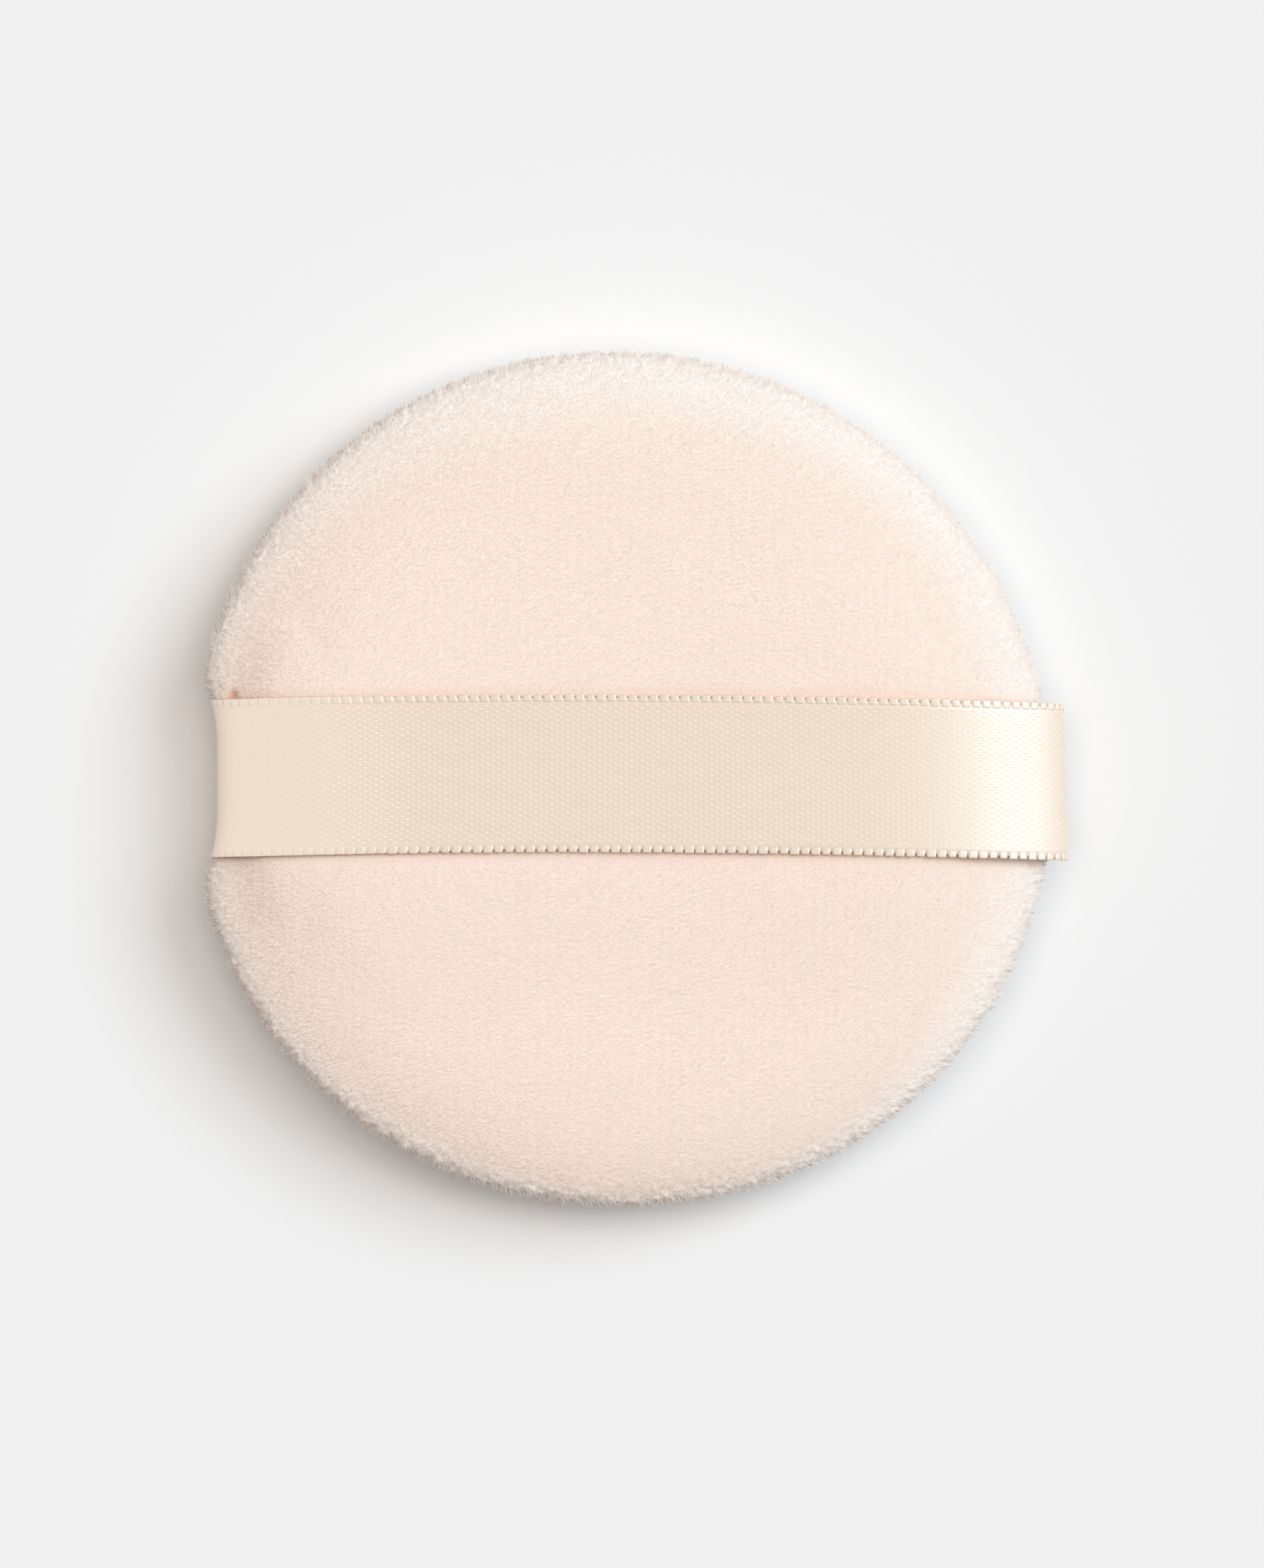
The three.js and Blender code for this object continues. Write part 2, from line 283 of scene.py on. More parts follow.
class Tree:
    """The nodes of one shader, one world or one geometry tree."""

    def __init__(self, graph: bpy.types.NodeTree) -> None:
        """Take up one of Blender's trees."""
        self.graph = graph

    def add(
        self, kind: str, inputs: Optional[dict[Any, Any]] = None, output: Any = 0, **settings: Any
    ) -> Value:
        """Add a node with its settings and links.

        Args:
            kind: Blender's name for the type of node.
            inputs: a value, or an output to link, for each input by name or number.
            output: which output to give back, by name or number.
            settings: the node's own properties, by name.

        Returns:
            That output of the new node.
        """
        node = self.graph.nodes.new(kind)
        for name, setting in settings.items():
            setattr(node, name, setting)
        for key, value in (inputs or {}).items():
            if isinstance(value, Value):
                self.graph.links.new(value.socket, node.inputs[key])
            else:
                node.inputs[key].default_value = value
        return Value(self, node.outputs[output])

    def close(self, kind: str, value: Value) -> None:
        """Add the tree's last node and link an output to it."""
        self.graph.links.new(value.socket, self.graph.nodes.new(kind).inputs[0])

    def sum(self, operation: str, first: Any, second: Any = 0.0) -> Value:
        """Work out one number from one or two, which may be numbers or outputs."""
        return self.add("ShaderNodeMath", {0: first, 1: second}, operation=operation)

    def move(self, operation: str, first: Any, second: Any = (0.0, 0.0, 0.0), output: Any = 0) -> Value:
        """Work out one vector from one or two, or from a vector and the number that scales it."""
        key = "Scale" if operation == "SCALE" else 1
        return self.add("ShaderNodeVectorMath", {0: first, key: second}, output, operation=operation)

    def vector(self, x: Any, y: Any, z: Any) -> Value:
        """Join three numbers or outputs in a vector."""
        return self.add("ShaderNodeCombineXYZ", {0: x, 1: y, 2: z})

    def parts(self, vector: Value) -> list[Value]:
        """Take a vector apart in its three numbers."""
        first = self.add("ShaderNodeSeparateXYZ", {0: vector})
        return [first.other(number) for number in range(3)]

    def mix(self, share: Value, low: Any, high: Any) -> Value:
        """Mix two colours, each a hex code or an output."""
        tones = [linear(tone) if isinstance(tone, str) else tone for tone in (low, high)]
        return self.add("ShaderNodeMix", {0: share, 6: tones[0], 7: tones[1]}, 2, data_type="RGBA")


class Recipe(Tree):
    """A Geometry Nodes tree with named inputs, which makes a plain mesh from a starting mesh."""

    def __init__(self, name: str, **numbers: Any) -> None:
        """Start a tree with its own inputs, a seed and a finish.

        Args:
            name: what the tree makes.
            numbers: each input's usual value, by name.
        """
        super().__init__(bpy.data.node_groups.new(name, "GeometryNodeTree"))
        face = self.graph.interface
        for side, title in (("INPUT", "Start"), ("OUTPUT", "Made")):
            face.new_socket(title, in_out=side, socket_type="NodeSocketGeometry")
        self.entry = self.graph.nodes.new("NodeGroupInput")
        self.names: dict[str, str] = {}
        kinds = {int: "Int", float: "Float", tuple: "Vector", type(None): "Material"}
        for title, value in {"seed": 0, "finish": None, **numbers}.items():
            kind = f"NodeSocket{kinds[type(value)]}"
            item = face.new_socket(title.replace("_", " "), in_out="INPUT", socket_type=kind)
            if value is not None:
                item.default_value = value
            self.names[title] = item.identifier

    @property
    def start(self) -> Value:
        """The starting mesh."""
        return Value(self, self.entry.outputs["Start"])

    def given(self, *titles: str) -> list[Value]:
        """Give the outputs that carry the inputs of these names."""
        return [Value(self, self.entry.outputs[title.replace("_", " ")]) for title in titles]

    def random(self, low: Any, high: Any, salt: int) -> Value:
        """Draw a number, or a vector where the limits are vectors, for each point or copy.

        Args:
            low: the least value, or the least on each axis.
            high: the greatest value, or the greatest on each axis.
            salt: sets this draw apart from the tree's other draws.

        Returns:
            The draw.
        """
        kind, first, output = ("FLOAT_VECTOR", 0, 0) if isinstance(low, tuple) else ("FLOAT", 2, 1)
        inputs = {first: low, first + 1: high, "Seed": self.given("seed")[0] + salt}
        return self.add("FunctionNodeRandomValue", inputs, output, data_type=kind)

    def stored(self, name: str, kind: str = "FLOAT") -> Value:
        """Read the number or the vector that is stored under a name."""
        return self.add("GeometryNodeInputNamedAttribute", {"Name": name}, data_type=kind)

    def store(
        self, geometry: Value, name: str, value: Value, domain: str = "POINT", kind: str = "FLOAT"
    ) -> Value:
        """Store a value under a name.

        Args:
            geometry: what carries it.
            name: its name.
            value: the value for each element.
            domain: Blender's name for the type of element.
            kind: Blender's name for the type of value.

        Returns:
            The geometry with the value.
        """
        inputs = {"Geometry": geometry, "Name": name, "Value": value}
        return self.add("GeometryNodeStoreNamedAttribute", inputs, data_type=kind, domain=domain)

    def end(self, copies: Value, mapped: Optional[tuple[Value, Value]] = None) -> None:
        """Close the tree with real copies, smooth faces and their finish.

        Args:
            copies: the geometry so far.
            mapped: the two outputs that place each corner on the map, for pile, which is also
                held over the table.
        """
        real = self.add("GeometryNodeRealizeInstances", {"Geometry": copies})
        if mapped:
            x, y, z = self.parts(self.add("GeometryNodeInputPosition"))
            place = self.vector(x, y, self.sum("MAXIMUM", z, TABLE_ROOM))
            real = self.add("GeometryNodeSetPosition", {"Geometry": real, "Position": place})
            real = self.store(real, FLAT_MAP, self.vector(*mapped, 0.0), "CORNER", "FLOAT2")
        real = self.add("GeometryNodeSetShadeSmooth", {"Geometry": real, "Shade Smooth": True})
        inputs = {"Geometry": real, "Material": self.given("finish")[0]}
        self.close("NodeGroupOutput", self.add("GeometryNodeSetMaterial", inputs))

    def make(self, name: str, start: bpy.types.Mesh, **values: Any) -> bpy.types.Object:
        """Run the tree once on a mesh.

        Args:
            name: the new piece's name.
            start: the mesh that goes in. It is used up.
            values: the tree's inputs, by name.

        Returns:
            The piece, as a plain mesh with no modifier.
        """
        piece = new_piece(name, start)
        modifier = piece.modifiers.new(self.graph.name, "NODES")
        modifier.node_group = self.graph
        for title, value in values.items():
            modifier[self.names[title]] = value
        ready = piece.evaluated_get(bpy.context.evaluated_depsgraph_get())
        made = bpy.data.meshes.new_from_object(ready)
        piece.modifiers.clear()
        piece.data = made
        made.name = name
        bpy.data.meshes.remove(start)
        return piece


# Finishes


class Paint(Tree):
    """A material: one Principled shader and the pattern that feeds it."""

    def __init__(self, name: str, **shader: Any) -> None:
        """Start the material.

        Args:
            name: the material's name.
            shader: the shader's own values, with _ for a space.
        """
        self.material = bpy.data.materials.new(name)
        self.material.use_nodes = True
        super().__init__(self.material.node_tree)
        self.surface = self.graph.nodes["Principled BSDF"]
        for title, value in shader.items():
            words = title.replace("_", " ").title().replace("Ior", "IOR")
            self.surface.inputs[words].default_value = value

    @property
    def place(self) -> Value:
        """Where each point of the surface lies in the frame."""
        return self.add("ShaderNodeTexCoord", output="Object")

    def feed(self, title: str, value: Value) -> None:
        """Link an output to one of the shader's inputs."""
        self.graph.links.new(value.socket, self.surface.inputs[title])

    def roughen(self, height: Value, strength: float, depth: float) -> None:
        """Let a pattern catch light as if it stood up, by a depth in metres."""
        inputs = {"Strength": strength, "Distance": depth, "Height": height}
        self.feed("Normal", self.add("ShaderNodeBump", inputs))


@dataclass(frozen=True)
class PileFinish:
    """Polyester velour pile, knitted, cut and brushed: matt, with painted highlight on its tips.

    The map's first share runs from a fibre's root to its tip, and the second is its shade.
    """

    # The root is painted darker, as painted shade, and the tip paler, as painted highlight.
    root: str = "#f9e7db"
    tip: str = "#fff7f0"
    darkest: float = 0.94  # the clouds of shade scale the colour from this
    palest: float = 1.04  # to this

    def material(self) -> bpy.types.Material:
        """Make the pile's material.

        Returns:
            The material.
        """
        paint = Paint(
            "cut_velour_pile",
            roughness=0.9,
            sheen_weight=0.6,
            sheen_roughness=0.5,
            specular_ior_level=0.2,
        )
        along, shade, _ = paint.parts(paint.add("ShaderNodeUVMap", uv_map=FLAT_MAP))
        limits = {0: shade, 3: self.darkest, 4: self.palest}
        shade = paint.add("ShaderNodeMapRange", limits)
        tone = paint.move("SCALE", paint.mix(along, self.root, self.tip), shade)
        paint.feed("Base Color", tone)
        return paint.material


@dataclass(frozen=True)
class BackingFinish:
    """The velour's dense mass of fibres, seen between the ones that stand free.

    It is matt, in the fine columns of the knitted ground. Its rim is painted paler, as painted
    sheen, and along the ribbon's edges and in the tucks it is painted darker and warmer, as painted
    shade.
    """

    colour: str = "#fbe9dd"
    dark: str = "#f8e5d8"
    # painted sheen, mixed in at the rim
    pale: str = "#fef5ed"
    # painted shade, warm-tinted, along the ribbon's edges and in the tucks
    warm_shade: str = "#dca27a"
    column: float = 0.95 * MM
    mottle: float = MM / 0.9

    def material(self) -> bpy.types.Material:
        """Make the backing's material.

        Returns:
            The material.
        """
        paint = Paint("velour_nap", roughness=0.9, specular_ior_level=0.2, sheen_weight=0.8)
        place = paint.place
        scale = math.pi / 10 / self.column  # so that Blender's bands are that far apart
        inputs = {"Vector": place, "Scale": scale, "Distortion": 1.5}
        bands = {"wave_type": "BANDS", "bands_direction": "X"}
        columns = paint.add("ShaderNodeTexWave", inputs, "Fac", **bands)
        inputs = {"Vector": place, "Scale": 1 / self.mottle, "Detail": 4.0}
        mottle = paint.add("ShaderNodeTexNoise", inputs)
        tone = paint.mix(columns * mottle, self.dark, self.colour)
        # Mix in the rim's painted sheen, then the painted shade along the ribbon and in the tucks.
        for name, other in (("pale", self.pale), ("warm_shade", self.warm_shade)):
            share = paint.add("ShaderNodeAttribute", output="Fac", attribute_name=name)
            tone = paint.mix(share, tone, other)
        paint.feed("Base Color", tone)
        paint.roughen(mottle, 0.15, 0.1 * MM)
        return paint.material


@dataclass(frozen=True)
class SatinFinish:
    """Polyester satin ribbon: long floats along it give a soft shine across them."""

    name: str = "satin_ground"
    colour: str = "#ddcab3"
    dark: str = "#d4bda3"
    # The plain left end is painted paler, as painted sheen where the ribbon bends down, and shows no
    # streaks.
    plain: str = "#ebd8c3"
    streak: float = 0.35 * MM
    streak_length: float = 12  # how many times as long as it is wide a streak is
    plain_share: float = 0.12  # the plain end is whole up to here along the ribbon
    woven_share: float = 0.3  # and gone from here

    def material(self, width: float, length: float) -> bpy.types.Material:
        """Make the satin's material, painted paler and without streaks at the ribbon's plain left end,
        as painted sheen where it bends down.

        Args:
            width: the flat ribbon's width, in metres.
            length: the flat ribbon's length, in metres.

        Returns:
            The material.
        """
        paint = Paint(
            self.name,
            roughness=0.45,
            ior=2.1,
            specular_ior_level=1.0,
            anisotropic=0.3,
            anisotropic_rotation=0.25,
            sheen_weight=0.1,
        )
        place = paint.add("ShaderNodeUVMap", uv_map=FLAT_MAP)
        size = (length / self.streak / self.streak_length, width / self.streak, 1.0)
        inputs = {"Vector": paint.move("MULTIPLY", place, size), "Scale": 1.0}
        streaks = paint.add("ShaderNodeTexNoise", inputs)
        limits = {0: paint.parts(place)[0], 1: self.plain_share, 2: self.woven_share}
        woven = paint.add("ShaderNodeMapRange", limits, interpolation_type="SMOOTHSTEP")
        tone = paint.mix(woven, self.plain, paint.mix(streaks, self.dark, self.colour))
        paint.feed("Base Color", tone)
        along = paint.add("ShaderNodeTangent", direction_type="UV_MAP", uv_map=FLAT_MAP)
        paint.feed("Tangent", along)
        return paint.material


@dataclass(frozen=True)
class FoamFinish:
    """Open polyurethane foam, sliced and stamped: matt, pitted all over with small cells."""

    colour: str = "#f6f0e4"
    dark: str = "#ddd2bf"
    cell: float = 0.6 * MM

    def material(self) -> bpy.types.Material:
        """Make the foam's material.

        Returns:
            The material.
        """
        paint = Paint("open_foam", roughness=0.9, specular_ior_level=0.3)
        cells = paint.add("ShaderNodeTexVoronoi", {"Vector": paint.place, "Scale": 1 / self.cell})
        paint.feed("Base Color", paint.mix(cells, self.dark, self.colour))
        paint.roughen(cells, 0.6, 0.2 * MM)
        return paint.material


@dataclass(frozen=True)
class ThreadFinish:
    """Spun polyester sewing thread in three plies: slightly shiny, with loose fine fibres."""

    colour: str = "#f1e1d2"
    dark: str = "#dcc6b2"
    fibre: float = 0.06 * MM

    def material(self) -> bpy.types.Material:
        """Make the thread's material.

        Returns:
            The material.
        """
        paint = Paint("spun_thread", roughness=0.6, sheen_weight=0.3)
        fibres = paint.add("ShaderNodeTexNoise", {"Vector": paint.place, "Scale": 1 / self.fibre})
        paint.feed("Base Color", paint.mix(fibres, self.dark, self.colour))
        return paint.material


# The pad


class Half(Enum):
    """Which half of the pad a cover makes: its value is the side of the seam that it lies on."""

    TOP = 1
    BASE = -1


@dataclass(frozen=True)
class PadShape:
    """Real sizes of the stuffed pad, in metres, shared by its covers, foam, thread and ribbon."""

    radius: float = 40 * MM
    seam_height: float = 6 * MM
    crown_height: float = 6.5 * MM
    rest_depth: float = 0.5 * MM
    crown_power: float = 6  # how square the edge of a face is
    oval_swell: float = 0.31 * MM
    lobe_swell: float = 0.18 * MM
    corner_swell: float = 0.1 * MM
    oval_turn: float = math.radians(25)
    lobe_turn: float = math.radians(70)
    corner_turn: float = math.radians(45)
    pinch_depth: float = 3 * MM
    pinch_reach: float = 8 * MM
    cover_thickness: float = 2 * MM
    turned_thickness: float = 1 * MM
    fold_rise: float = 0.45 * MM
    crease_depth: float = 1.2 * MM
    seam_gap: float = 0.3 * MM
    seam_allowance: float = 4 * MM
    foam_gap: float = 0.3 * MM
    lip_thickness: float = 0.4 * MM
    thread_diameter: float = 0.25 * MM
    thread_gap: float = 0.25 * MM

    @classmethod
    def from_frame(cls) -> "PadShape":
        """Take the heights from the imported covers.

        Returns:
            The pad's sizes.
        """
        base_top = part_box("bottom_cover")[1].z
        low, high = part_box("top_cover")
        seam = (base_top + low.z) / 2
        return cls(seam_height=seam, crown_height=high.z - seam, seam_gap=low.z - base_top)

    @property
    def turned_top(self) -> float:
        """Height of the turned edge's inner side over the seam."""
        return self.seam_gap / 2 + self.turned_thickness

    @property
    def roll_height(self) -> float:
        """Height of the widest place of the rim over the seam."""
        return self.turned_top + self.fold_rise

    @property
    def fold_radius(self) -> float:
        """Radius to which the seam draws the rim in."""
        return self.radius - self.crease_depth

    @property
    def thread_reach(self) -> float:
        """Half a thread with its clearance."""
        return self.thread_diameter / 2 + self.thread_gap

    @property
    def link_reach(self) -> float:
        """Distance between two linked threads' middles."""
        return self.thread_diameter + self.thread_gap

    @property
    def seam_radius(self) -> float:
        """Radius of the row of lockstitches."""
        hole = self.link_reach + self.thread_reach * math.sqrt(2)
        return self.radius - self.cover_thickness - hole - self.thread_gap

    @property
    def raw_edge(self) -> float:
        """Radius of the covers' cut edges inside the pad."""
        return self.seam_radius - self.seam_allowance

    @property
    def run_height(self) -> float:
        """Height of a thread that runs over the turned edge."""
        return self.turned_top + self.thread_reach

    def radius_at(self, angle: np.ndarray) -> np.ndarray:
        """Work out the hand-cut outline, drawn in where the ribbon's left end is sewn.

        Args:
            angle: angles round the pad, in radians.

        Returns:
            The pad's reach at each angle.
        """
        oval = self.oval_swell * np.cos(2 * (angle + self.oval_turn))
        lobes = self.lobe_swell * np.cos(3 * angle + self.lobe_turn)
        corners = self.corner_swell * np.cos(4 * (angle - self.corner_turn))
        from_left_end = np.arccos(np.clip(-np.cos(angle), -1, 1)) * self.radius
        pinch = self.pinch_depth * np.exp(-((from_left_end / self.pinch_reach) ** 4))
        return self.radius + oval + lobes + corners - pinch

    def places(self, angle: np.ndarray, radius: np.ndarray, height: np.ndarray) -> np.ndarray:
        """Place points of the pad, following its outline.

        Args:
            angle: angles round the pad, in radians.
            radius: radii on a true circle.
            height: heights over the seam.

        Returns:
            The places, one in each row.
        """
        reach = radius * self.radius_at(angle) / self.radius
        rise = self.seam_height + height + 0 * reach
        return np.stack([reach * np.cos(angle), reach * np.sin(angle), rise], axis=-1)

    def crown(self, radius: float, rise: float, flat: float, count: int) -> np.ndarray:
        """Draw half a face in section, from its middle to its widest place.

        Args:
            radius: the face's reach.
            rise: its height over its widest place, before it is pressed flat.
            flat: how deep it is pressed.
            count: number of points on the round part.

        Returns:
            Radius and height of each point.
        """
        start = math.acos((rise - flat) / rise)
        turn = np.linspace(start, math.pi / 2, count)
        arch = np.stack([radius * np.sin(turn) ** (2 / self.crown_power), rise * np.cos(turn)], axis=1)
        return np.concatenate([[[0, rise - flat]], arch[0 if flat else 1 :]])


def turned_faces(rings: int, steps: int, sector: bool = False) -> list[tuple[int, ...]]:
    """List the faces of a section turned round the axis, with a pole at each of its ends.

    Args:
        rings: number of rings between the poles.
        steps: number of steps round the axis.
        sector: whether it is a sector of the turn, which ends at its last ring, with no pole.

    Returns:
        Faces, on points that come as the first pole, each ring in turn, and the last pole.
    """
    faces: list[tuple[int, ...]] = []
    wide = steps + int(sector)
    for turn in range(steps):
        after = (turn + 1) % wide
        faces.append((0, 1 + turn, 1 + after))
        for ring in range(rings - 1):
            low = 1 + ring * wide
            high = low + wide
            faces.append((low + turn, high + turn, high + after, low + after))
        if not sector:
            low = 1 + (rings - 1) * wide
            faces.append((low + turn, low + wide, low + after))
    return faces


def turned_points(pad: PadShape, section: np.ndarray, turns: int) -> np.ndarray:
    """Turn a section round the axis, following the pad's outline.

    Args:
        pad: the pad's sizes.
        section: radius and height of each point, from the axis back to the axis.
        turns: number of steps round the axis.

    Returns:
        Points in the order that turned_faces takes.
    """
    angle = np.linspace(0, 2 * math.pi, turns, endpoint=False)
    rings = [pad.places(angle, radius, height) for radius, height in section[1:-1]]
    poles = [pad.places(np.zeros(1), 0 * angle[:1], section[end, 1]) for end in (0, -1)]
    return np.concatenate([poles[0], *rings, poles[1]])


@dataclass(frozen=True)
class StuffedBody:
    """The stuffed pad, swollen by a cloth simulation, so that the covers sit on it as on foam."""

    enlarged: float = 10  # the cloth is simulated on a copy so many times as big
    voxel: float = 1.8 * MM
    pressure: float = 4
    last_frame: int = 20
    cap: float = 0.7 * MM
    pinned: float = 1.2 * MM
    turns: int = 120

    def swollen(self, pad: PadShape, section: np.ndarray) -> Optional[BVHTree]:
        """Blow the pad up inside its covers, held at the seam.

        Args:
            pad: the pad's sizes.
            section: the starting body in section, from its top to its underside.
        """
        points = turned_points(pad, section, self.turns)
        faces = turned_faces(len(section) - 2, self.turns)
        mesh = new_mesh("stuffing", points * self.enlarged, faces)
        body = new_piece("stuffing", mesh)
        remesh = body.modifiers.new("even_cloth", "REMESH")
        remesh.mode = "VOXEL"
        remesh.voxel_size = self.voxel * self.enlarged
        graph = bpy.context.evaluated_depsgraph_get()
        even = bpy.data.meshes.new_from_object(body.evaluated_get(graph))
        body.modifiers.clear()
        body.data = even
        start = points_of(even)
        held = np.abs(start[:, 2] / self.enlarged - pad.seam_height) < self.pinned
        seam = body.vertex_groups.new(name="seam")
        seam.add(np.flatnonzero(held).tolist(), 1.0, "REPLACE")
        cloth = body.modifiers.new("velour", "CLOTH")
        cloth.settings.vertex_group_mass = seam.name
        cloth.settings.use_pressure = True
        cloth.settings.uniform_pressure_force = self.pressure
        cloth.settings.effector_weights.gravity = 0
        cloth.settings.quality = 5
        cloth.point_cache.frame_end = self.last_frame
        for step in range(1, self.last_frame + 1):
            bpy.context.scene.frame_set(step)
        ready = body.evaluated_get(bpy.context.evaluated_depsgraph_get())
        moved = points_of(ready.data) - start
        far = np.linalg.norm(moved, axis=1, keepdims=True)
        log.info("stuffing moved %.3f mm at most", far.max() / self.enlarged / MM)
        kept = start + moved * np.minimum(1, self.cap * self.enlarged / np.maximum(far, 1e-9))
        faces = [tuple(face.vertices) for face in even.polygons]
        tree = BVHTree.FromPolygons((kept / self.enlarged).tolist(), faces)
        bpy.context.scene.frame_set(1)
        bpy.data.objects.remove(body)
        return tree


@dataclass
class Cover:
    """One velour cover: a face, the roll of its rim, the edge turned in, and its pile."""

    half: Half
    pad: PadShape
    ribbon: "FingerRibbon"
    pile_height: float = 0.25 * MM
    rim_pile: float = 0.5 * MM
    crushed_pile: float = 0.1 * MM
    sunk_share: float = 0.45  # how much of the pile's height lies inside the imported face
    swell_room: float = 0.5 * MM
    roll_width: float = 10 * MM
    roll_fade: float = 7 * MM
    face_pitch: float = 0.6 * MM
    rim_pitch: float = 0.22 * MM
    lining_pitch: float = 1.6 * MM
    turns: int = 960
    tuft_width: float = 0.45 * MM
    tuft_shade: float = 0.85
    face_tuft: float = 0.035 * MM
    rim_tuft: float = 0.24 * MM
    tuft_stretch: float = 0.35  # the tufts are longer up the rim than along it
    calm_share: float = 0.15  # how much of the face's tufts is left in its middle
    steep_level: float = 0.96  # the rim's tufts start where the cloth faces up less than this
    steep_fade: float = 0.5
    rim_width: float = 8 * MM
    # The rim is painted paler, as painted sheen, over this width, wider towards pale_side and in three
    # lobes round the rim.
    pale_width: float = 5.5 * MM
    pale_more: float = 3 * MM
    pale_side: float = math.radians(70)
    pale_lobes: float = 1.5 * MM
    lobes_turn: float = math.radians(225)
    dome: float = 1.1  # how much steeper than its shape the face shades
    soft_slope: float = math.radians(24)
    tucks: tuple = ((-35.9 * MM, 7.9 * MM, 1.0), (38.4 * MM, -8.0 * MM, 0.4))  # X, Y, strength
    tuck_width: float = 0.35 * MM
    tuck_depth: float = 0.3 * MM
    tuck_laid: float = 0.9
    # painted shade in the tucks: strong at the middle, fainter round it
    tuck_shade: float = 0.9
    tuck_halo_shade: float = 0.2
    ribbon_room: float = 0.05 * MM
    raised_width: float = 17 * MM
    raised_inset: float = 3 * MM
    raised_fade: float = 9 * MM
    raised_most: float = 1 * MM
    tight_width: float = 10 * MM
    tight_inset: float = 2 * MM
    tight_fade: float = 5 * MM
    tight_most: float = 1.5 * MM
    edge_give: float = 0.8 * MM
    hem_give: float = 1.2 * MM
    laid_share: float = 0.35  # how far the ribbon lays the pile down
    # painted shade along the ribbon's edges
    warm_width: float = 0.7 * MM
    warm_share: float = 0.35
    pile_density: float = 28 / MM**2
    fibre_width: float = 0.11 * MM
    clearness: float = 0.9  # how far a fibre shades as its ground does
    sectors: int = 4

    @property
    def node(self) -> str:
        """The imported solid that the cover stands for."""
        return "top_cover" if self.half is Half.TOP else "bottom_cover"

    @property
    def flat(self) -> float:
        """How deep the face is pressed by the table."""
        return self.pad.rest_depth if self.half is Half.BASE else 0.0

    def outward(self, faces: list[tuple[int, ...]]) -> list[tuple[int, ...]]:
        """Turn faces that point outwards on the top cover to do so on this one."""
        return faces if self.half is Half.TOP else [face[::-1] for face in faces]

    def blown(self, radius: np.ndarray) -> np.ndarray:
        """Say how far the stuffing lifts the cloth: fully on the face, and not at the firm roll."""
        return smooth_step((self.pad.radius - self.roll_width - radius) / self.roll_fade)

    def outside(self, room: float) -> tuple[np.ndarray, np.ndarray]:
        """Draw the ground of the pile in section, from the middle of the face to the crease.

        Args:
            room: how much lower than its finished place the face starts, in metres.

        Returns:
            Radius and height of each point, and the height of the pile on it.
        """
        pad = self.pad
        face = pad.crown(pad.radius, pad.crown_height - pad.roll_height, self.flat, 400)
        inner = np.count_nonzero(face[:, 0] < pad.radius - self.rim_width)
        middle = evened(face[:inner], self.face_pitch)
        edge = evened(face[inner - 1 :], self.rim_pitch)
        face = np.concatenate([middle, edge[1:]]) + [0, pad.roll_height]
        turn = np.linspace(0, math.pi / 2, 10)[1:]
        roll = np.stack(
            [
                pad.fold_radius + pad.crease_depth * np.cos(turn),
                pad.roll_height - (pad.roll_height - pad.seam_gap / 2) * np.sin(turn),
            ],
            axis=1,
        )
        line = np.concatenate([face, roll])
        inward = square_to(line)
        free = np.concatenate([np.ones(len(face)), np.cos(turn) ** 0.7])
        nap = self.pile_height + (self.rim_pile - self.pile_height) * smooth_step(1 + inward[:, 1])
        pile = self.crushed_pile + (nap - self.crushed_pile) * free
        room = room * self.blown(line[:, 0])
        return line + inward * (self.sunk_share * pile + room)[:, None], pile

    def inside(self) -> np.ndarray:
        """Draw the turned edge and the lining in section, from the crease to the middle.

        Returns:
            Radius and height of each point.
        """
        pad = self.pad
        lining = pad.radius - pad.cover_thickness
        rise = pad.crown_height - pad.roll_height - pad.cover_thickness
        edge = [
            [pad.fold_radius - self.sunk_share * self.crushed_pile, pad.seam_gap / 2],
            [pad.raw_edge, pad.seam_gap / 2],
            [pad.raw_edge, pad.turned_top],
            [lining, pad.turned_top],
        ]
        hollow = pad.crown(lining, rise, self.flat, 200)[::-1] + [0, pad.roll_height]
        parts = [evened(np.array(pair), self.lining_pitch)[:-1] for pair in zip(edge, edge[1:])]
        return np.concatenate([*parts, [edge[-1]], evened(hollow, self.lining_pitch)])

    def pressed(self, points: np.ndarray, radius: np.ndarray) -> np.ndarray:
        """Say how far the ribbon's ends press the turned edge.

        Args:
            points: the cloth's points.
            radius: each point's radius on a true circle.

        Returns:
            A share from 0 to 1 for each point.
        """
        soft = self.edge_give
        beside = (self.ribbon.width / 2 + soft - np.abs(points[:, 1])) / soft
        reached = (radius - self.ribbon.end + soft) / soft
        return smooth_step(beside) * smooth_step(reached)

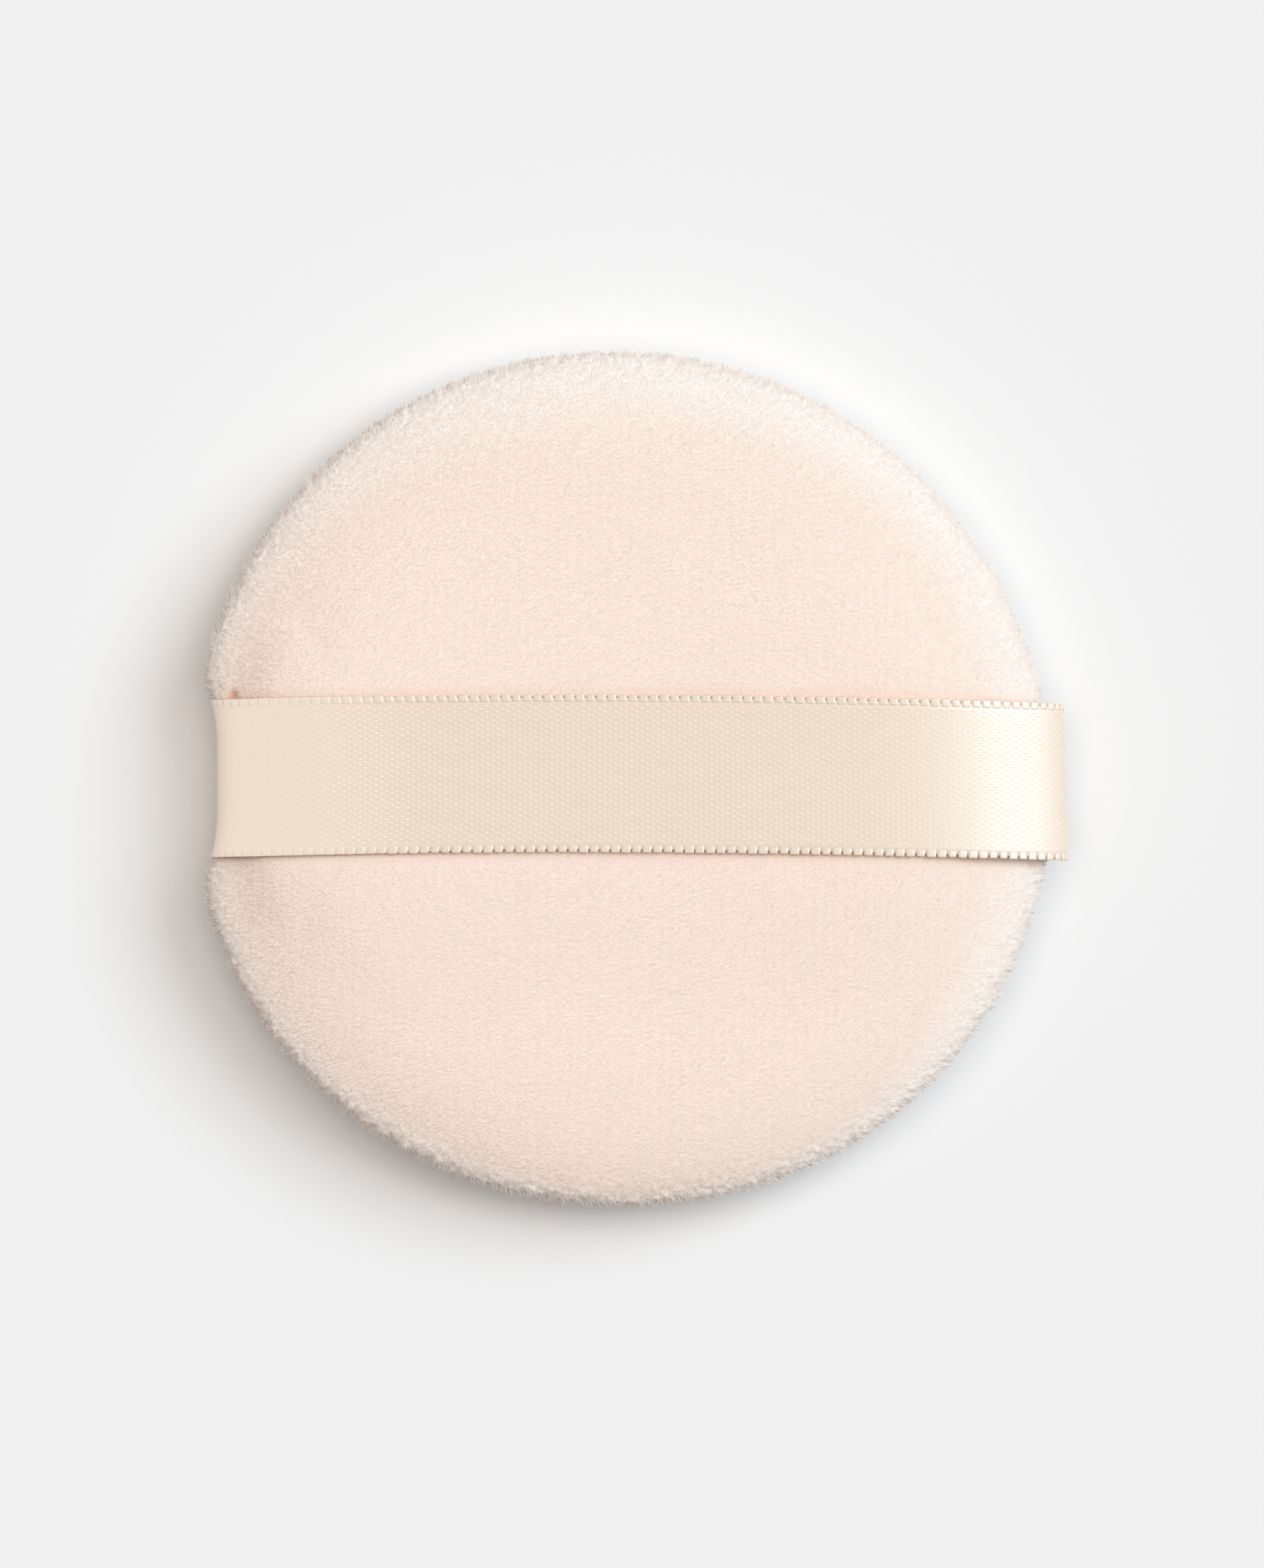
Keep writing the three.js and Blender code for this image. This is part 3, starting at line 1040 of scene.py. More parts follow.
    def build_skin(self, body: Optional[BVHTree]) -> None:
        """Make the cloth of the cover, swollen by its stuffing and pressed by the ribbon.

        Args:
            body: the swollen stuffing, if it was simulated.
        """
        side = self.half.value
        pad = self.pad
        outer, pile = self.outside(self.swell_room)
        section = np.concatenate([outer, self.inside()]) * [1, side]
        points = turned_points(pad, section, self.turns)
        faces = self.outward(turned_faces(len(section) - 2, self.turns))
        mesh = new_mesh(self.node, points, faces)
        shown = 1 + (len(outer) - 1) * self.turns
        heights = np.repeat(pile[1:], self.turns)
        heights = np.concatenate([pile[:1], heights, np.zeros(len(points) - shown)])
        loose = (heights - self.crushed_pile) / (self.pile_height - self.crushed_pile)
        loose = np.clip(loose, 0, 1)
        radius = np.concatenate([[0], np.repeat(section[1:-1, 0], self.turns), [0]])
        swell = self.swell(mesh, points, loose * self.blown(radius), body)
        points = points + normals_of(mesh) * swell[:, None]
        level = (points[:, 2] - pad.seam_height) * side
        turned = radius > pad.raw_edge - MM
        lift = (self.ribbon.reach - pad.seam_gap / 2) * self.pressed(points, radius)
        near = np.clip(1 - (level - pad.seam_gap / 2) / pad.turned_thickness, 0, 1)
        points[:, 2] += side * lift * near * turned
        if self.half is Half.TOP:
            points[:, 2] += self.raised(points, normals_of(mesh)) * loose
        set_points(mesh, points)
        even = normals_of(mesh)
        points = points + even * (self.relief(points, even, radius) * loose)[:, None]
        set_points(mesh, points)
        lit = self.lit(even) + (normals_of(mesh) - even) * self.tuft_shade
        set_facing(mesh, lit)
        # The rim's painted sheen and the painted shade along the ribbon and in the tucks are stored for
        # the backing's colour.
        pale = self.painted_sheen(points, radius)
        add_values(mesh, "pale", pale)
        add_values(mesh, "warm_shade", self.painted_warm_shade(points))
        self.rings = len(outer)
        self.ground = points[:shown]
        self.heights = heights[:shown]
        self.facing = lit[:shown]
        self.pale = pale[:shown]
        self.skin = new_piece(f"{self.node}_cloth", mesh)

    def raised(self, points: np.ndarray, normals: np.ndarray) -> np.ndarray:
        """Work out how far the soft pad stands up to the ribbon, most at its tight left end.

        Args:
            points: the cloth's points.
            normals: the way that it faces at each point.

        Returns:
            How far each point moves up, in metres.
        """
        room = self.ribbon.underside(points[:, 0]) - self.ribbon_room - points[:, 2]
        room = np.clip(room - self.pile_height, 0, self.tight_most)
        away = np.abs(self.ribbon.beside(points)) - self.ribbon.width / 2
        inside = self.pad.radius - self.tight_inset - np.hypot(points[:, 0], points[:, 1])
        share = smooth_step((inside + self.tight_inset - self.raised_inset) / self.raised_fade)
        share = share * smooth_step(1 - away / self.raised_width)
        tight = smooth_step(inside / self.tight_fade) * (points[:, 0] < 0)
        tight = tight * smooth_step(1 - away / self.tight_width)
        lift = np.maximum(np.minimum(room, self.raised_most) * share, room * tight)
        return lift * (normals[:, 2] > 0)

    def painted_sheen(self, points: np.ndarray, radius: np.ndarray) -> np.ndarray:
        """Say how far the cloth is painted paler, as painted sheen: at the rim, wider towards one side
        and in three lobes.

        Args:
            points: the cloth's points.
            radius: each point's radius on a true circle.

        Returns:
            A share from 0 to 1 for each point.
        """
        turn = np.arctan2(points[:, 1], points[:, 0])
        width = self.pale_width + self.pale_more * np.cos(turn - self.pale_side)
        width += self.pale_lobes * np.cos(3 * (turn - self.lobes_turn))
        return smooth_step((radius - self.pad.radius + width) / width)

    def in_tucks(self, points: np.ndarray, width: float) -> np.ndarray:
        """Say how near points lie to the middle of a tuck beside the ribbon's ends.

        Args:
            points: the cloth's points.
            width: distance at which a tuck has mostly faded.

        Returns:
            A share from 0 to 1 for each point.
        """
        near = np.zeros(len(points))
        for x, y, size in self.tucks:
            away = np.hypot(points[:, 0] - x, points[:, 1] - y) / width
            near += size * np.exp(-(away**2))
        return near * (points[:, 2] > self.pad.seam_height) * (self.half is Half.TOP)

    def painted_warm_shade(self, points: np.ndarray) -> np.ndarray:
        """Say where the cloth is painted darker and warmer, as painted shade, beside the ribbon and in
        tucks.

        Args:
            points: the cloth's points.

        Returns:
            A share from 0 to 1 for each point, highest along the ribbon's edges and in tucks.
        """
        if self.half is Half.BASE:
            return np.zeros(len(points))
        away = (np.abs(self.ribbon.beside(points)) - self.ribbon.width / 2) / self.warm_width
        warm_shade = self.warm_share * np.exp(-(away**2))
        warm_shade += self.tuck_shade * self.in_tucks(points, self.tuck_width)
        warm_shade += self.tuck_halo_shade * self.in_tucks(points, 3 * self.tuck_width)
        return np.clip(warm_shade, 0, 1) * (points[:, 2] > self.pad.seam_height)

    def relief(self, points: np.ndarray, normals: np.ndarray, radius: np.ndarray) -> np.ndarray:
        """Work out the tufts that the nap stands in, and the tucks beside the ribbon's ends.

        Args:
            points: the smooth cloth's points.
            normals: the way that it faces at each point.
            radius: each point's radius on a true circle.

        Returns:
            How far each point stands out from the smooth cloth, in metres.
        """
        near = smooth_step((radius - self.pad.radius + self.rim_width) / self.rim_width)
        near = self.calm_share + (1 - self.calm_share) * near
        steep = smooth_step((self.steep_level - np.abs(normals[:, 2])) / self.steep_fade)
        size = self.face_tuft * near + (self.rim_tuft - self.face_tuft) * steep
        scale = Vector((1, 1, self.tuft_stretch)) / self.tuft_width
        tufts = np.array([noise.noise(Vector(point) * scale) for point in points])
        return size * tufts - self.tuck_depth * self.in_tucks(points, self.tuck_width)

    def lit(self, normals: np.ndarray) -> np.ndarray:
        """Work out how the nap shades: light goes through its tips, so the top's rim stays soft.

        Args:
            normals: the way that each point of the cloth faces.

        Returns:
            The way that it catches light.
        """
        if self.half is Half.BASE:
            return normals
        domed = normals * [self.dome, self.dome, 1]
        domed /= np.linalg.norm(domed, axis=1, keepdims=True)
        return eased(domed, np.full(len(normals), self.soft_slope))

    def swell(
        self, mesh: bpy.types.Mesh, points: np.ndarray, loose: np.ndarray, body: Optional[BVHTree]
    ) -> np.ndarray:
        """Find how far the stuffing pushes each point of the cloth out.

        Args:
            mesh: the cloth.
            points: its points.
            loose: how free each point is to move, from 0 to 1.
            body: the swollen stuffing, if it was simulated.

        Returns:
            How far each point moves along its normal, in metres.
        """
        if body is None:
            return self.swell_room * loose
        moved = np.zeros(len(points))
        for at in np.flatnonzero(loose > 0):
            normal = mesh.vertices[at].normal
            found = body.ray_cast(Vector(points[at]), normal, 2 * self.swell_room)
            moved[at] = found[3] if found[3] is not None else 0
        return np.minimum(moved, self.swell_room * loose)

    def patch(self, sector: int) -> bpy.types.Mesh:
        """Copy the part of the pile's ground in one sector.

        Args:
            sector: the sector's number.

        Returns:
            The ground, with the pile's height, painted sheen and facing stored on it.
        """
        share = self.turns // self.sectors
        turns = (np.arange(share + 1) + sector * share) % self.turns
        rows = [1 + ring * self.turns + turns for ring in range(self.rings - 1)]
        picked = np.concatenate([[0], *rows])
        faces = self.outward(turned_faces(self.rings - 1, share, sector=True))
        mesh = new_mesh("ground", self.ground[picked], faces)
        add_values(mesh, "pile", self.pile_heights()[picked])
        add_values(mesh, "pale", self.pale[picked])
        add_values(mesh, "facing", self.facing[picked])
        return mesh

    def pile_heights(self) -> np.ndarray:
        """Lay the pile down under the ribbon and in the tucks.

        Returns:
            The pile's height at each point of the ground.
        """
        if self.half is Half.BASE:
            return self.heights
        soft = self.hem_give
        under = smooth_step((self.ribbon.width / 2 + soft - np.abs(self.ground[:, 1])) / soft)
        tucked = self.tuck_laid * self.in_tucks(self.ground, 2 * self.tuck_width)
        return self.heights * (1 - self.laid_share * under) * (1 - tucked)

    def build_pile(self, recipe: Recipe, finish: bpy.types.Material) -> list[bpy.types.Object]:
        """Stand the pile on the cover's ground.

        Args:
            recipe: how pile stands.
            finish: its material.

        Returns:
            One piece for each sector.
        """
        pile = [
            recipe.make(
                f"{self.node}_pile_{sector + 1}",
                self.patch(sector),
                density=self.pile_density,
                fibre_width=self.fibre_width,
                clearness=self.clearness,
                seed=sector + 7 * (2 + self.half.value),
                finish=finish,
            )
            for sector in range(self.sectors)
        ]
        for piece in pile:
            set_facing(piece.data, rows_of(piece.data.attributes["ground"].data, "vector"))
        return pile

    def dress(self, backing: bpy.types.Material, pile: list[bpy.types.Object]) -> None:
        """Give the cloth its finish and put the cover's pieces on the puff.

        Args:
            backing: the cloth's material.
            pile: the pieces of pile.
        """
        self.skin.data.materials.append(backing)
        set_out(self.skin, "velour", self.node)
        for piece in pile:
            set_out(piece, "velour")


def pile_recipe() -> Recipe:
    """Set out how pile stands on its ground: closed three-sided spikes, which lean one way.

    The spikes are coarser than real fibres, and their clumps and clouds of shade as wide as the
    render can show.

    Returns:
        The tree. It reads the pile's height from the numbers stored on the ground.
    """
    recipe = Recipe(
        "velour_pile",
        density=1.0,
        fibre_width=0.1 * MM,
        lean=(0.5, 0.5, 0.0),
        looseness=0.3,
        brushed=0.15,
        clumping=2.6,
        clearness=0.5,
    )
    density, width, lean, looseness = recipe.given("density", "fibre_width", "lean", "looseness")
    brushed, clumping, clearness = recipe.given("brushed", "clumping", "clearness")
    stroke_width, clump_width, cloud_width = MM / 0.11, MM / 1.5, MM / 1.4
    inputs = {"Mesh": recipe.start, "Density": density, "Seed": recipe.given("seed")[0]}
    roots = recipe.add("GeometryNodeDistributePointsOnFaces", inputs, distribute_method="RANDOM")
    up = roots.other("Normal")
    stray = recipe.move("SCALE", recipe.random((-1.0,) * 3, (1.0,) * 3, 1), looseness)
    strokes = recipe.add("ShaderNodeTexNoise", {"Scale": 1 / stroke_width, "Detail": 2.0}, "Color")
    strokes = recipe.move("SUBTRACT", strokes, (0.5, 0.5, 0.5))
    strokes = recipe.move("SCALE", strokes, brushed * 2.0)
    way = recipe.move("SUBTRACT", lean, recipe.move("PROJECT", lean, up))
    for part in (up, stray, strokes):
        way = recipe.move("ADD", way, part)
    reach = recipe.move("LENGTH", way, output="Value")
    spin = recipe.random((0.0, 0.0, 0.0), (0.0, 0.0, 2 * math.pi), 2)
    inputs = {"Rotation": spin, "Vector": way}
    aligned = recipe.add("FunctionNodeAlignRotationToVector", inputs, axis="Z")
    foot = width / math.sqrt(3)
    inputs = {"Vertices": 3, "Radius Top": 0.0, "Radius Bottom": foot, "Depth": 1.0}
    spike = recipe.add("GeometryNodeMeshCone", inputs, fill_type="NGON")
    x, y, z = recipe.parts(recipe.add("GeometryNodeInputPosition"))
    for name, value in (("along", z), ("across", x / width), ("beside", y / width)):
        spike = recipe.store(spike, name, value)
    clumps = recipe.add("ShaderNodeTexNoise", {"Scale": 1 / clump_width, "Detail": 1.0}) - 0.5
    steep = recipe.sum("SUBTRACT", 1.15, recipe.sum("ABSOLUTE", recipe.parts(up)[2]))
    uneven = recipe.random(0.9, 1.05, 3) + clumps * clumping * steep
    height = recipe.stored("pile") * uneven * reach
    facing = recipe.stored("facing", "FLOAT_VECTOR")
    lit = recipe.add("ShaderNodeMix", {0: clearness, 4: way, 5: facing}, 1, data_type="VECTOR")
    lit = recipe.move("NORMALIZE", lit)
    rooted = recipe.store(roots, "ground", lit, kind="FLOAT_VECTOR")
    scale = recipe.vector(1.0, 1.0, height)
    inputs = {"Points": rooted, "Instance": spike, "Rotation": aligned, "Scale": scale}
    copies = recipe.add("GeometryNodeInstanceOnPoints", inputs)
    clouds = recipe.add("ShaderNodeTexNoise", {"Scale": 1 / cloud_width, "Detail": 1.0})
    shade = clouds + recipe.random(-0.12, 0.12, 4)
    copies = recipe.store(copies, "shade", shade, "INSTANCE")
    ground = recipe.stored("ground", "FLOAT_VECTOR")
    copies = recipe.store(copies, "ground", ground, "INSTANCE", "FLOAT_VECTOR")
    # Shares of a spike's own x and y keep its faces open on the map.
    # Fibres are painted paler towards the tip, as painted highlight, and darker at the root, as painted
    # shade; the rim's painted sheen moves them towards the tip colour.
    first = recipe.stored("along") * 0.4 + 0.05
    first = first + recipe.stored("pale") * 0.5 + recipe.stored("beside") * 0.05
    second = recipe.stored("shade") + recipe.stored("across") * 0.05
    second = recipe.add("ShaderNodeClamp", {0: second, 1: 0.02, 2: 0.98})
    recipe.end(copies, (first, second))
    return recipe


@dataclass
class FoamCore:
    """The foam disc inside the covers, with a groove round its rim for their turned edges."""

    pad: PadShape
    turns: int = 180
    ring_pitch: float = 1 * MM
    pit: float = 0.06 * MM

    def section(self) -> np.ndarray:
        """Draw the foam in section, from the middle of its top to the middle of its underside.

        Returns:
            Radius and height of each point.
        """
        pad = self.pad
        radius = pad.radius - pad.cover_thickness - pad.foam_gap
        rise = pad.crown_height - pad.roll_height - pad.cover_thickness - pad.foam_gap
        groove = pad.run_height + pad.thread_diameter / 2 + pad.foam_gap
        lip = groove + pad.lip_thickness
        lip_share = math.sqrt(1 - ((lip - pad.roll_height) / rise) ** 2) ** (2 / pad.crown_power)
        halves = []
        for flat in (0.0, pad.rest_depth):
            whole = pad.crown(radius, rise, flat, 400) + [0, pad.roll_height]
            edge = [
                [radius * lip_share, lip],
                [radius * lip_share, groove],
                [pad.raw_edge - pad.foam_gap, groove],
            ]
            line = np.concatenate([whole[whole[:, 1] > lip], edge[:1]])
            rest = [evened(np.array(pair), self.ring_pitch)[1:] for pair in zip(edge, edge[1:])]
            halves.append(np.concatenate([evened(line, self.ring_pitch), *rest]))
        return np.concatenate([halves[0], halves[1][::-1] * [1, -1]])

    def build(self) -> bpy.types.Object:
        """Make the foam, with its surface pitted by cut cells.

        Returns:
            The foam.
        """
        section = self.section()
        points = turned_points(self.pad, section, self.turns)
        mesh = new_mesh("foam_core", points, turned_faces(len(section) - 2, self.turns))
        rng = np.random.default_rng(11)
        set_points(mesh, points - normals_of(mesh) * rng.uniform(0, self.pit, (len(points), 1)))
        return new_piece("foam_core_cells", mesh)

    def dress(self, piece: bpy.types.Object, finish: bpy.types.Material) -> None:
        """Give the foam its finish and put it in the puff.

        Args:
            piece: the foam.
            finish: its material.
        """
        piece.data.materials.append(finish)
        set_out(piece, "foam", "foam_core")


# The ribbon


@dataclass
class FingerRibbon:
    """Satin ribbon across the top face, folded round the rim and caught in the seam."""

    pad: PadShape
    width: float = 14.6 * MM
    thickness: float = 0.3 * MM
    gap: float = 0.3 * MM
    tail: float = 3.4 * MM
    lift: float = 0.8 * MM
    bulge: float = 0.8 * MM
    bow: float = 0.6 * MM
    drift: float = 0.15 * MM
    skew: float = 0.2 * MM
    follow: float = 0.5  # how far the left end curves with the rim across its width
    shoulder: float = 10  # how square its bend is
    left_slope: float = math.radians(9)
    right_slope: float = math.radians(34)
    float_thickness: float = 0.08 * MM
    float_length: float = 0.62 * MM
    float_width: float = 0.12 * MM
    float_pitch: float = 0.985 * MM
    row_pitch: float = 0.267 * MM
    flatness: float = 0.4  # how much of the woven relief is left out of the shading
    picot_pitch: float = 0.97 * MM
    picot_depth: float = 0.66 * MM
    picot_thickness: float = 0.26 * MM
    picot_level: float = 0.05 * MM
    band_pitch: float = 0.25 * MM
    band_inset: float = 0.9  # in depths of a picot, both edges together
    floats_inset: float = 2.6  # in the same measure
    plain_share: float = 0.2
    slope_shares: tuple[float, float] = (0.3, 0.7)
    smooth_shares: tuple[float, float] = (0.12, 0.3)

    def __post_init__(self) -> None:
        """Work out the route once."""
        signed, height = self.route()
        x = self.reach_along(signed, 0 * signed)
        step = np.hypot(np.diff(x), np.diff(height))
        self.along = np.concatenate([[0], np.cumsum(step)])
        self.signed = signed
        self.height = height

    @property
    def reach(self) -> float:
        """Half the ribbon's thickness with its gap."""
        return self.thickness / 2 + self.gap

    @property
    def end(self) -> float:
        """Radius of the ribbon's cut ends."""
        return self.pad.seam_radius - self.tail

    @property
    def length(self) -> float:
        """Length of the flat ribbon between its cut ends."""
        return float(self.along[-1])

    def half_route(self, side: int) -> np.ndarray:
        """Draw half the route, from a cut end to the middle.

        Args:
            side: -1 for the left half and 1 for the right half.

        Returns:
            Radius and height over the seam of each point.
        """
        pad = self.pad
        stand_off = self.reach + (self.bulge if side > 0 else 0)
        tail = np.linspace(self.end, pad.fold_radius, 40)[:-1]
        turn = np.linspace(0, math.pi / 2, 60)[:-1]
        bend = np.stack(
            [
                pad.fold_radius + (pad.crease_depth + stand_off) * np.sin(turn),
                pad.roll_height * (1 - np.cos(turn)),
            ],
            axis=1,
        )
        turn = math.pi / 2 * np.linspace(1, 0, 240) ** 1.5
        lift = self.reach + self.lift * np.cos(turn) ** 2
        rise = (pad.crown_height - pad.roll_height + lift) * np.cos(turn)
        power = pad.crown_power if side > 0 else self.shoulder
        radius = (pad.radius + stand_off) * np.sin(turn) ** (2 / power)
        arch = np.stack([radius, pad.roll_height + rise], axis=1)
        return np.concatenate([np.stack([tail, 0 * tail], axis=1), bend, arch])

    def route(self) -> tuple[np.ndarray, np.ndarray]:
        """Join both halves of the route.

        Returns:
            Radius and height over the seam of each point, with radii below nothing on the left.
        """
        left = self.half_route(-1)
        right = self.half_route(1)[-2::-1]
        signed = np.concatenate([-left[:, 0], right[:, 0]])
        return signed, np.concatenate([left[:, 1], right[:, 1]])

    def reach_along(self, signed: np.ndarray, across: np.ndarray) -> np.ndarray:
        """Turn a radius to a place along X, following the drawn-in rim on the left.

        Args:
            signed: radius on a true circle, below nothing on the left.
            across: distance from the ribbon's middle line.

        Returns:
            The place along X of each point.
        """
        pad = self.pad
        level = pad.radius_at(np.full_like(across, math.pi))
        reach = level
        for _ in range(4):
            reach = np.sqrt(pad.radius_at(np.arctan2(across, -reach)) ** 2 - across**2)
        reach = level + (reach - level) * self.follow
        straight = pad.radius_at(np.zeros(1)) - self.skew * across * 2 / self.width
        return signed * np.where(signed < 0, reach, straight) / pad.radius

    def middle(self, along: np.ndarray, across: np.ndarray) -> np.ndarray:
        """Place points of the ribbon's middle layer.

        Args:
            along: distance from the flat ribbon's left end.
            across: distance from its middle line.

        Returns:
            The places in the puff.
        """
        signed = np.interp(along, self.along, self.signed)
        height = np.interp(along, self.along, self.height)
        share = signed / self.pad.radius
        sway = self.bow * (1 - share**2) - self.drift * share
        x = self.reach_along(signed, across)
        return np.stack([x, across + sway, self.pad.seam_height + height], axis=1)

    def lay(self, flat: np.ndarray) -> np.ndarray:
        """Lay points of the flat ribbon along its route.

        Args:
            flat: place along, across and above the flat ribbon, for each point.

        Returns:
            The places in the puff.
        """
        step = 0.15 * MM
        along = np.clip(flat[:, 0], step, self.length - step)
        ahead = self.middle(along + step, flat[:, 1])
        behind = self.middle(along - step, flat[:, 1])
        out = np.stack([behind[:, 2] - ahead[:, 2], 0 * along, ahead[:, 0] - behind[:, 0]], axis=1)
        out /= np.linalg.norm(out, axis=1, keepdims=True)
        way = (ahead - behind) / np.linalg.norm(ahead - behind, axis=1, keepdims=True)
        past = (flat[:, 0] - along)[:, None]
        return self.middle(along, flat[:, 1]) + way * past + out * flat[:, 2:]

    def lay_piece(self, mesh: bpy.types.Mesh) -> None:
        """Map a flat mesh on the ribbon, then lay it along the route.

        Args:
            mesh: the mesh, which is changed.
        """
        flat = points_of(mesh)
        shares = flat[:, :2] / [self.length, self.width] + [0, 0.5]
        add_map(mesh, np.clip(shares, 0, 1))
        laid = self.lay(flat)
        out = (self.lay(flat + [0, 0, MM]) - laid) / MM
        slopes = (self.left_slope, self.right_slope)
        lit = eased(out, np.interp(shares[:, 0], self.slope_shares, slopes))
        set_points(mesh, laid)
        flatness = np.interp(shares[:, 0], self.smooth_shares, (1, self.flatness))[:, None]
        set_facing(mesh, lit + (normals_of(mesh) - out) * (1 - flatness))

    def underside(self, x: np.ndarray) -> np.ndarray:
        """Give the height of the ribbon's underside where it crosses the top face.

        Args:
            x: places along X.

        Returns:
            Its height over the table at each.
        """
        top = self.height > self.pad.roll_height
        along = self.along[top]
        middle = self.middle(along, 0 * along)
        return np.interp(x, middle[:, 0], middle[:, 2]) - self.thickness / 2

    def beside(self, points: np.ndarray) -> np.ndarray:
        """Give how far points lie from the ribbon's middle line, seen from above."""
        share = points[:, 0] / self.pad.radius
        return points[:, 1] - self.bow * (1 - share**2) + self.drift * share

    def build_band(self) -> bpy.types.Object:
        """Make the ribbon's ground, a closed band that is wider at the plain left end.

        Returns:
            The band. Its edges lie under the picots, and show where they have flattened out.
        """
        inner = self.width - self.band_inset * self.picot_depth
        depth = self.thickness - self.float_thickness / 2
        low = -self.thickness / 2
        ring = [(-inner / 2, low), (inner / 2, low), (inner / 2, low + depth), (-inner / 2, low + depth)]
        corners = []
        for (y0, z0), (y1, z1) in zip(ring, ring[1:] + ring[:1]):
            count = 24 if z0 == z1 else 2
            for share in np.arange(count) / count:
                corners.append((y0 + (y1 - y0) * share, z0 + (z1 - z0) * share))
        steps = round(self.length / self.band_pitch)
        wide = len(corners)
        plain = 1 - smooth_step((np.arange(steps + 1) / steps - self.plain_share) / self.plain_share)
        points = [
            (self.length * step / steps, y * (1 + (self.width / inner - 1) * plain[step]), z)
            for step in range(steps + 1)
            for y, z in corners
        ]
        faces: list[tuple[int, ...]] = []
        for step in range(steps):
            for corner in range(wide):
                after = (corner + 1) % wide
                low_row = step * wide
                high_row = low_row + wide
                faces.append((low_row + corner, low_row + after, high_row + after, high_row + corner))
        faces.append(tuple(range(wide))[::-1])
        faces.append(tuple(range(steps * wide, steps * wide + wide)))
        mesh = new_mesh("ribbon_ground", np.array(points), faces)
        self.lay_piece(mesh)
        return new_piece("finger_ribbon_ground", mesh)

    def build_floats(self, finish: bpy.types.Material) -> bpy.types.Object:
        """Weave the satin's floats on the flat ground, then lay them along the route.

        Args:
            finish: their material.

        Returns:
            The floats.
        """
        piece = float_recipe().make(
            "finger_ribbon_floats",
            bpy.data.meshes.new("flat"),
            length=self.length,
            width=self.width - self.floats_inset * self.picot_depth,
            float_pitch=self.float_pitch,
            row_pitch=self.row_pitch,
            float_size=(self.float_length, self.float_width, self.float_thickness),
            level=self.thickness / 2 - self.float_thickness / 2,
            finish=finish,
        )
        self.lay_piece(piece.data)
        return piece

    def build_picots(self, finish: bpy.types.Material) -> bpy.types.Object:
        """Work the puffed picots of both edges flat, then lay them along the route.

        Args:
            finish: their material.

        Returns:
            The picots.
        """
        piece = picot_recipe().make(
            "finger_ribbon_picots",
            bpy.data.meshes.new("flat"),
            length=self.length,
            edge=self.width / 2,
            pitch=self.picot_pitch,
            depth=self.picot_depth,
            thickness=self.picot_thickness,
            level=self.picot_level,
            finish=finish,
        )
        self.lay_piece(piece.data)
        return piece

    def dress(
        self, band: bpy.types.Object, parts: list[bpy.types.Object], finish: bpy.types.Material
    ) -> None:
        """Give the ribbon its finish and put it on the puff.

        Args:
            band: the ribbon's ground.
            parts: its floats and picots.
            finish: the ground's material.
        """
        band.data.materials.append(finish)
        set_out(band, "satin", "finger_ribbon")
        for piece in parts:
            set_out(piece, "satin")


def float_recipe() -> Recipe:
    """Set out the satin's floats: rows of rounded dashes, each row shifted by half a step.

    Real floats are too fine to show, so these are as coarse as the photograph shows them.

    Returns:
        The tree. It makes its own grid, so the starting mesh is empty.
    """
    recipe = Recipe(
        "satin_floats",
        length=100 * MM,
        width=13 * MM,
        float_pitch=1 * MM,
        row_pitch=0.3 * MM,
        float_size=(0.6 * MM, 0.1 * MM, 0.1 * MM),
        level=0.1 * MM,
    )
    length, width, pitch, row = recipe.given("length", "width", "float_pitch", "row_pitch")
    size, level = recipe.given("float_size", "level")
    columns = recipe.sum("FLOOR", length / pitch)
    rows = recipe.sum("FLOOR", width / row)
    long, wide = (columns - 1.0) * pitch, (rows - 1.0) * row
    inputs = {"Size X": long, "Size Y": wide, "Vertices X": columns, "Vertices Y": rows}
    grid = recipe.add("GeometryNodeMeshGrid", inputs)
    y = recipe.parts(recipe.add("GeometryNodeInputPosition"))[1]
    number = recipe.sum("ROUND", y / row + wide * 0.5 / row)
    shift = (recipe.sum("FRACT", number * 0.5) - 0.25) * pitch
    offset = recipe.vector(length * 0.5 + shift, 0.0, level)
    moved = recipe.add("GeometryNodeSetPosition", {"Geometry": grid, "Offset": offset})
    dash = recipe.add("GeometryNodeMeshIcoSphere", {"Radius": 0.5, "Subdivisions": 1})
    scale = recipe.move("SCALE", size, recipe.random(0.92, 1.08, 1))
    inputs = {"Points": moved, "Instance": dash, "Scale": scale}
    recipe.end(recipe.add("GeometryNodeInstanceOnPoints", inputs))
    return recipe


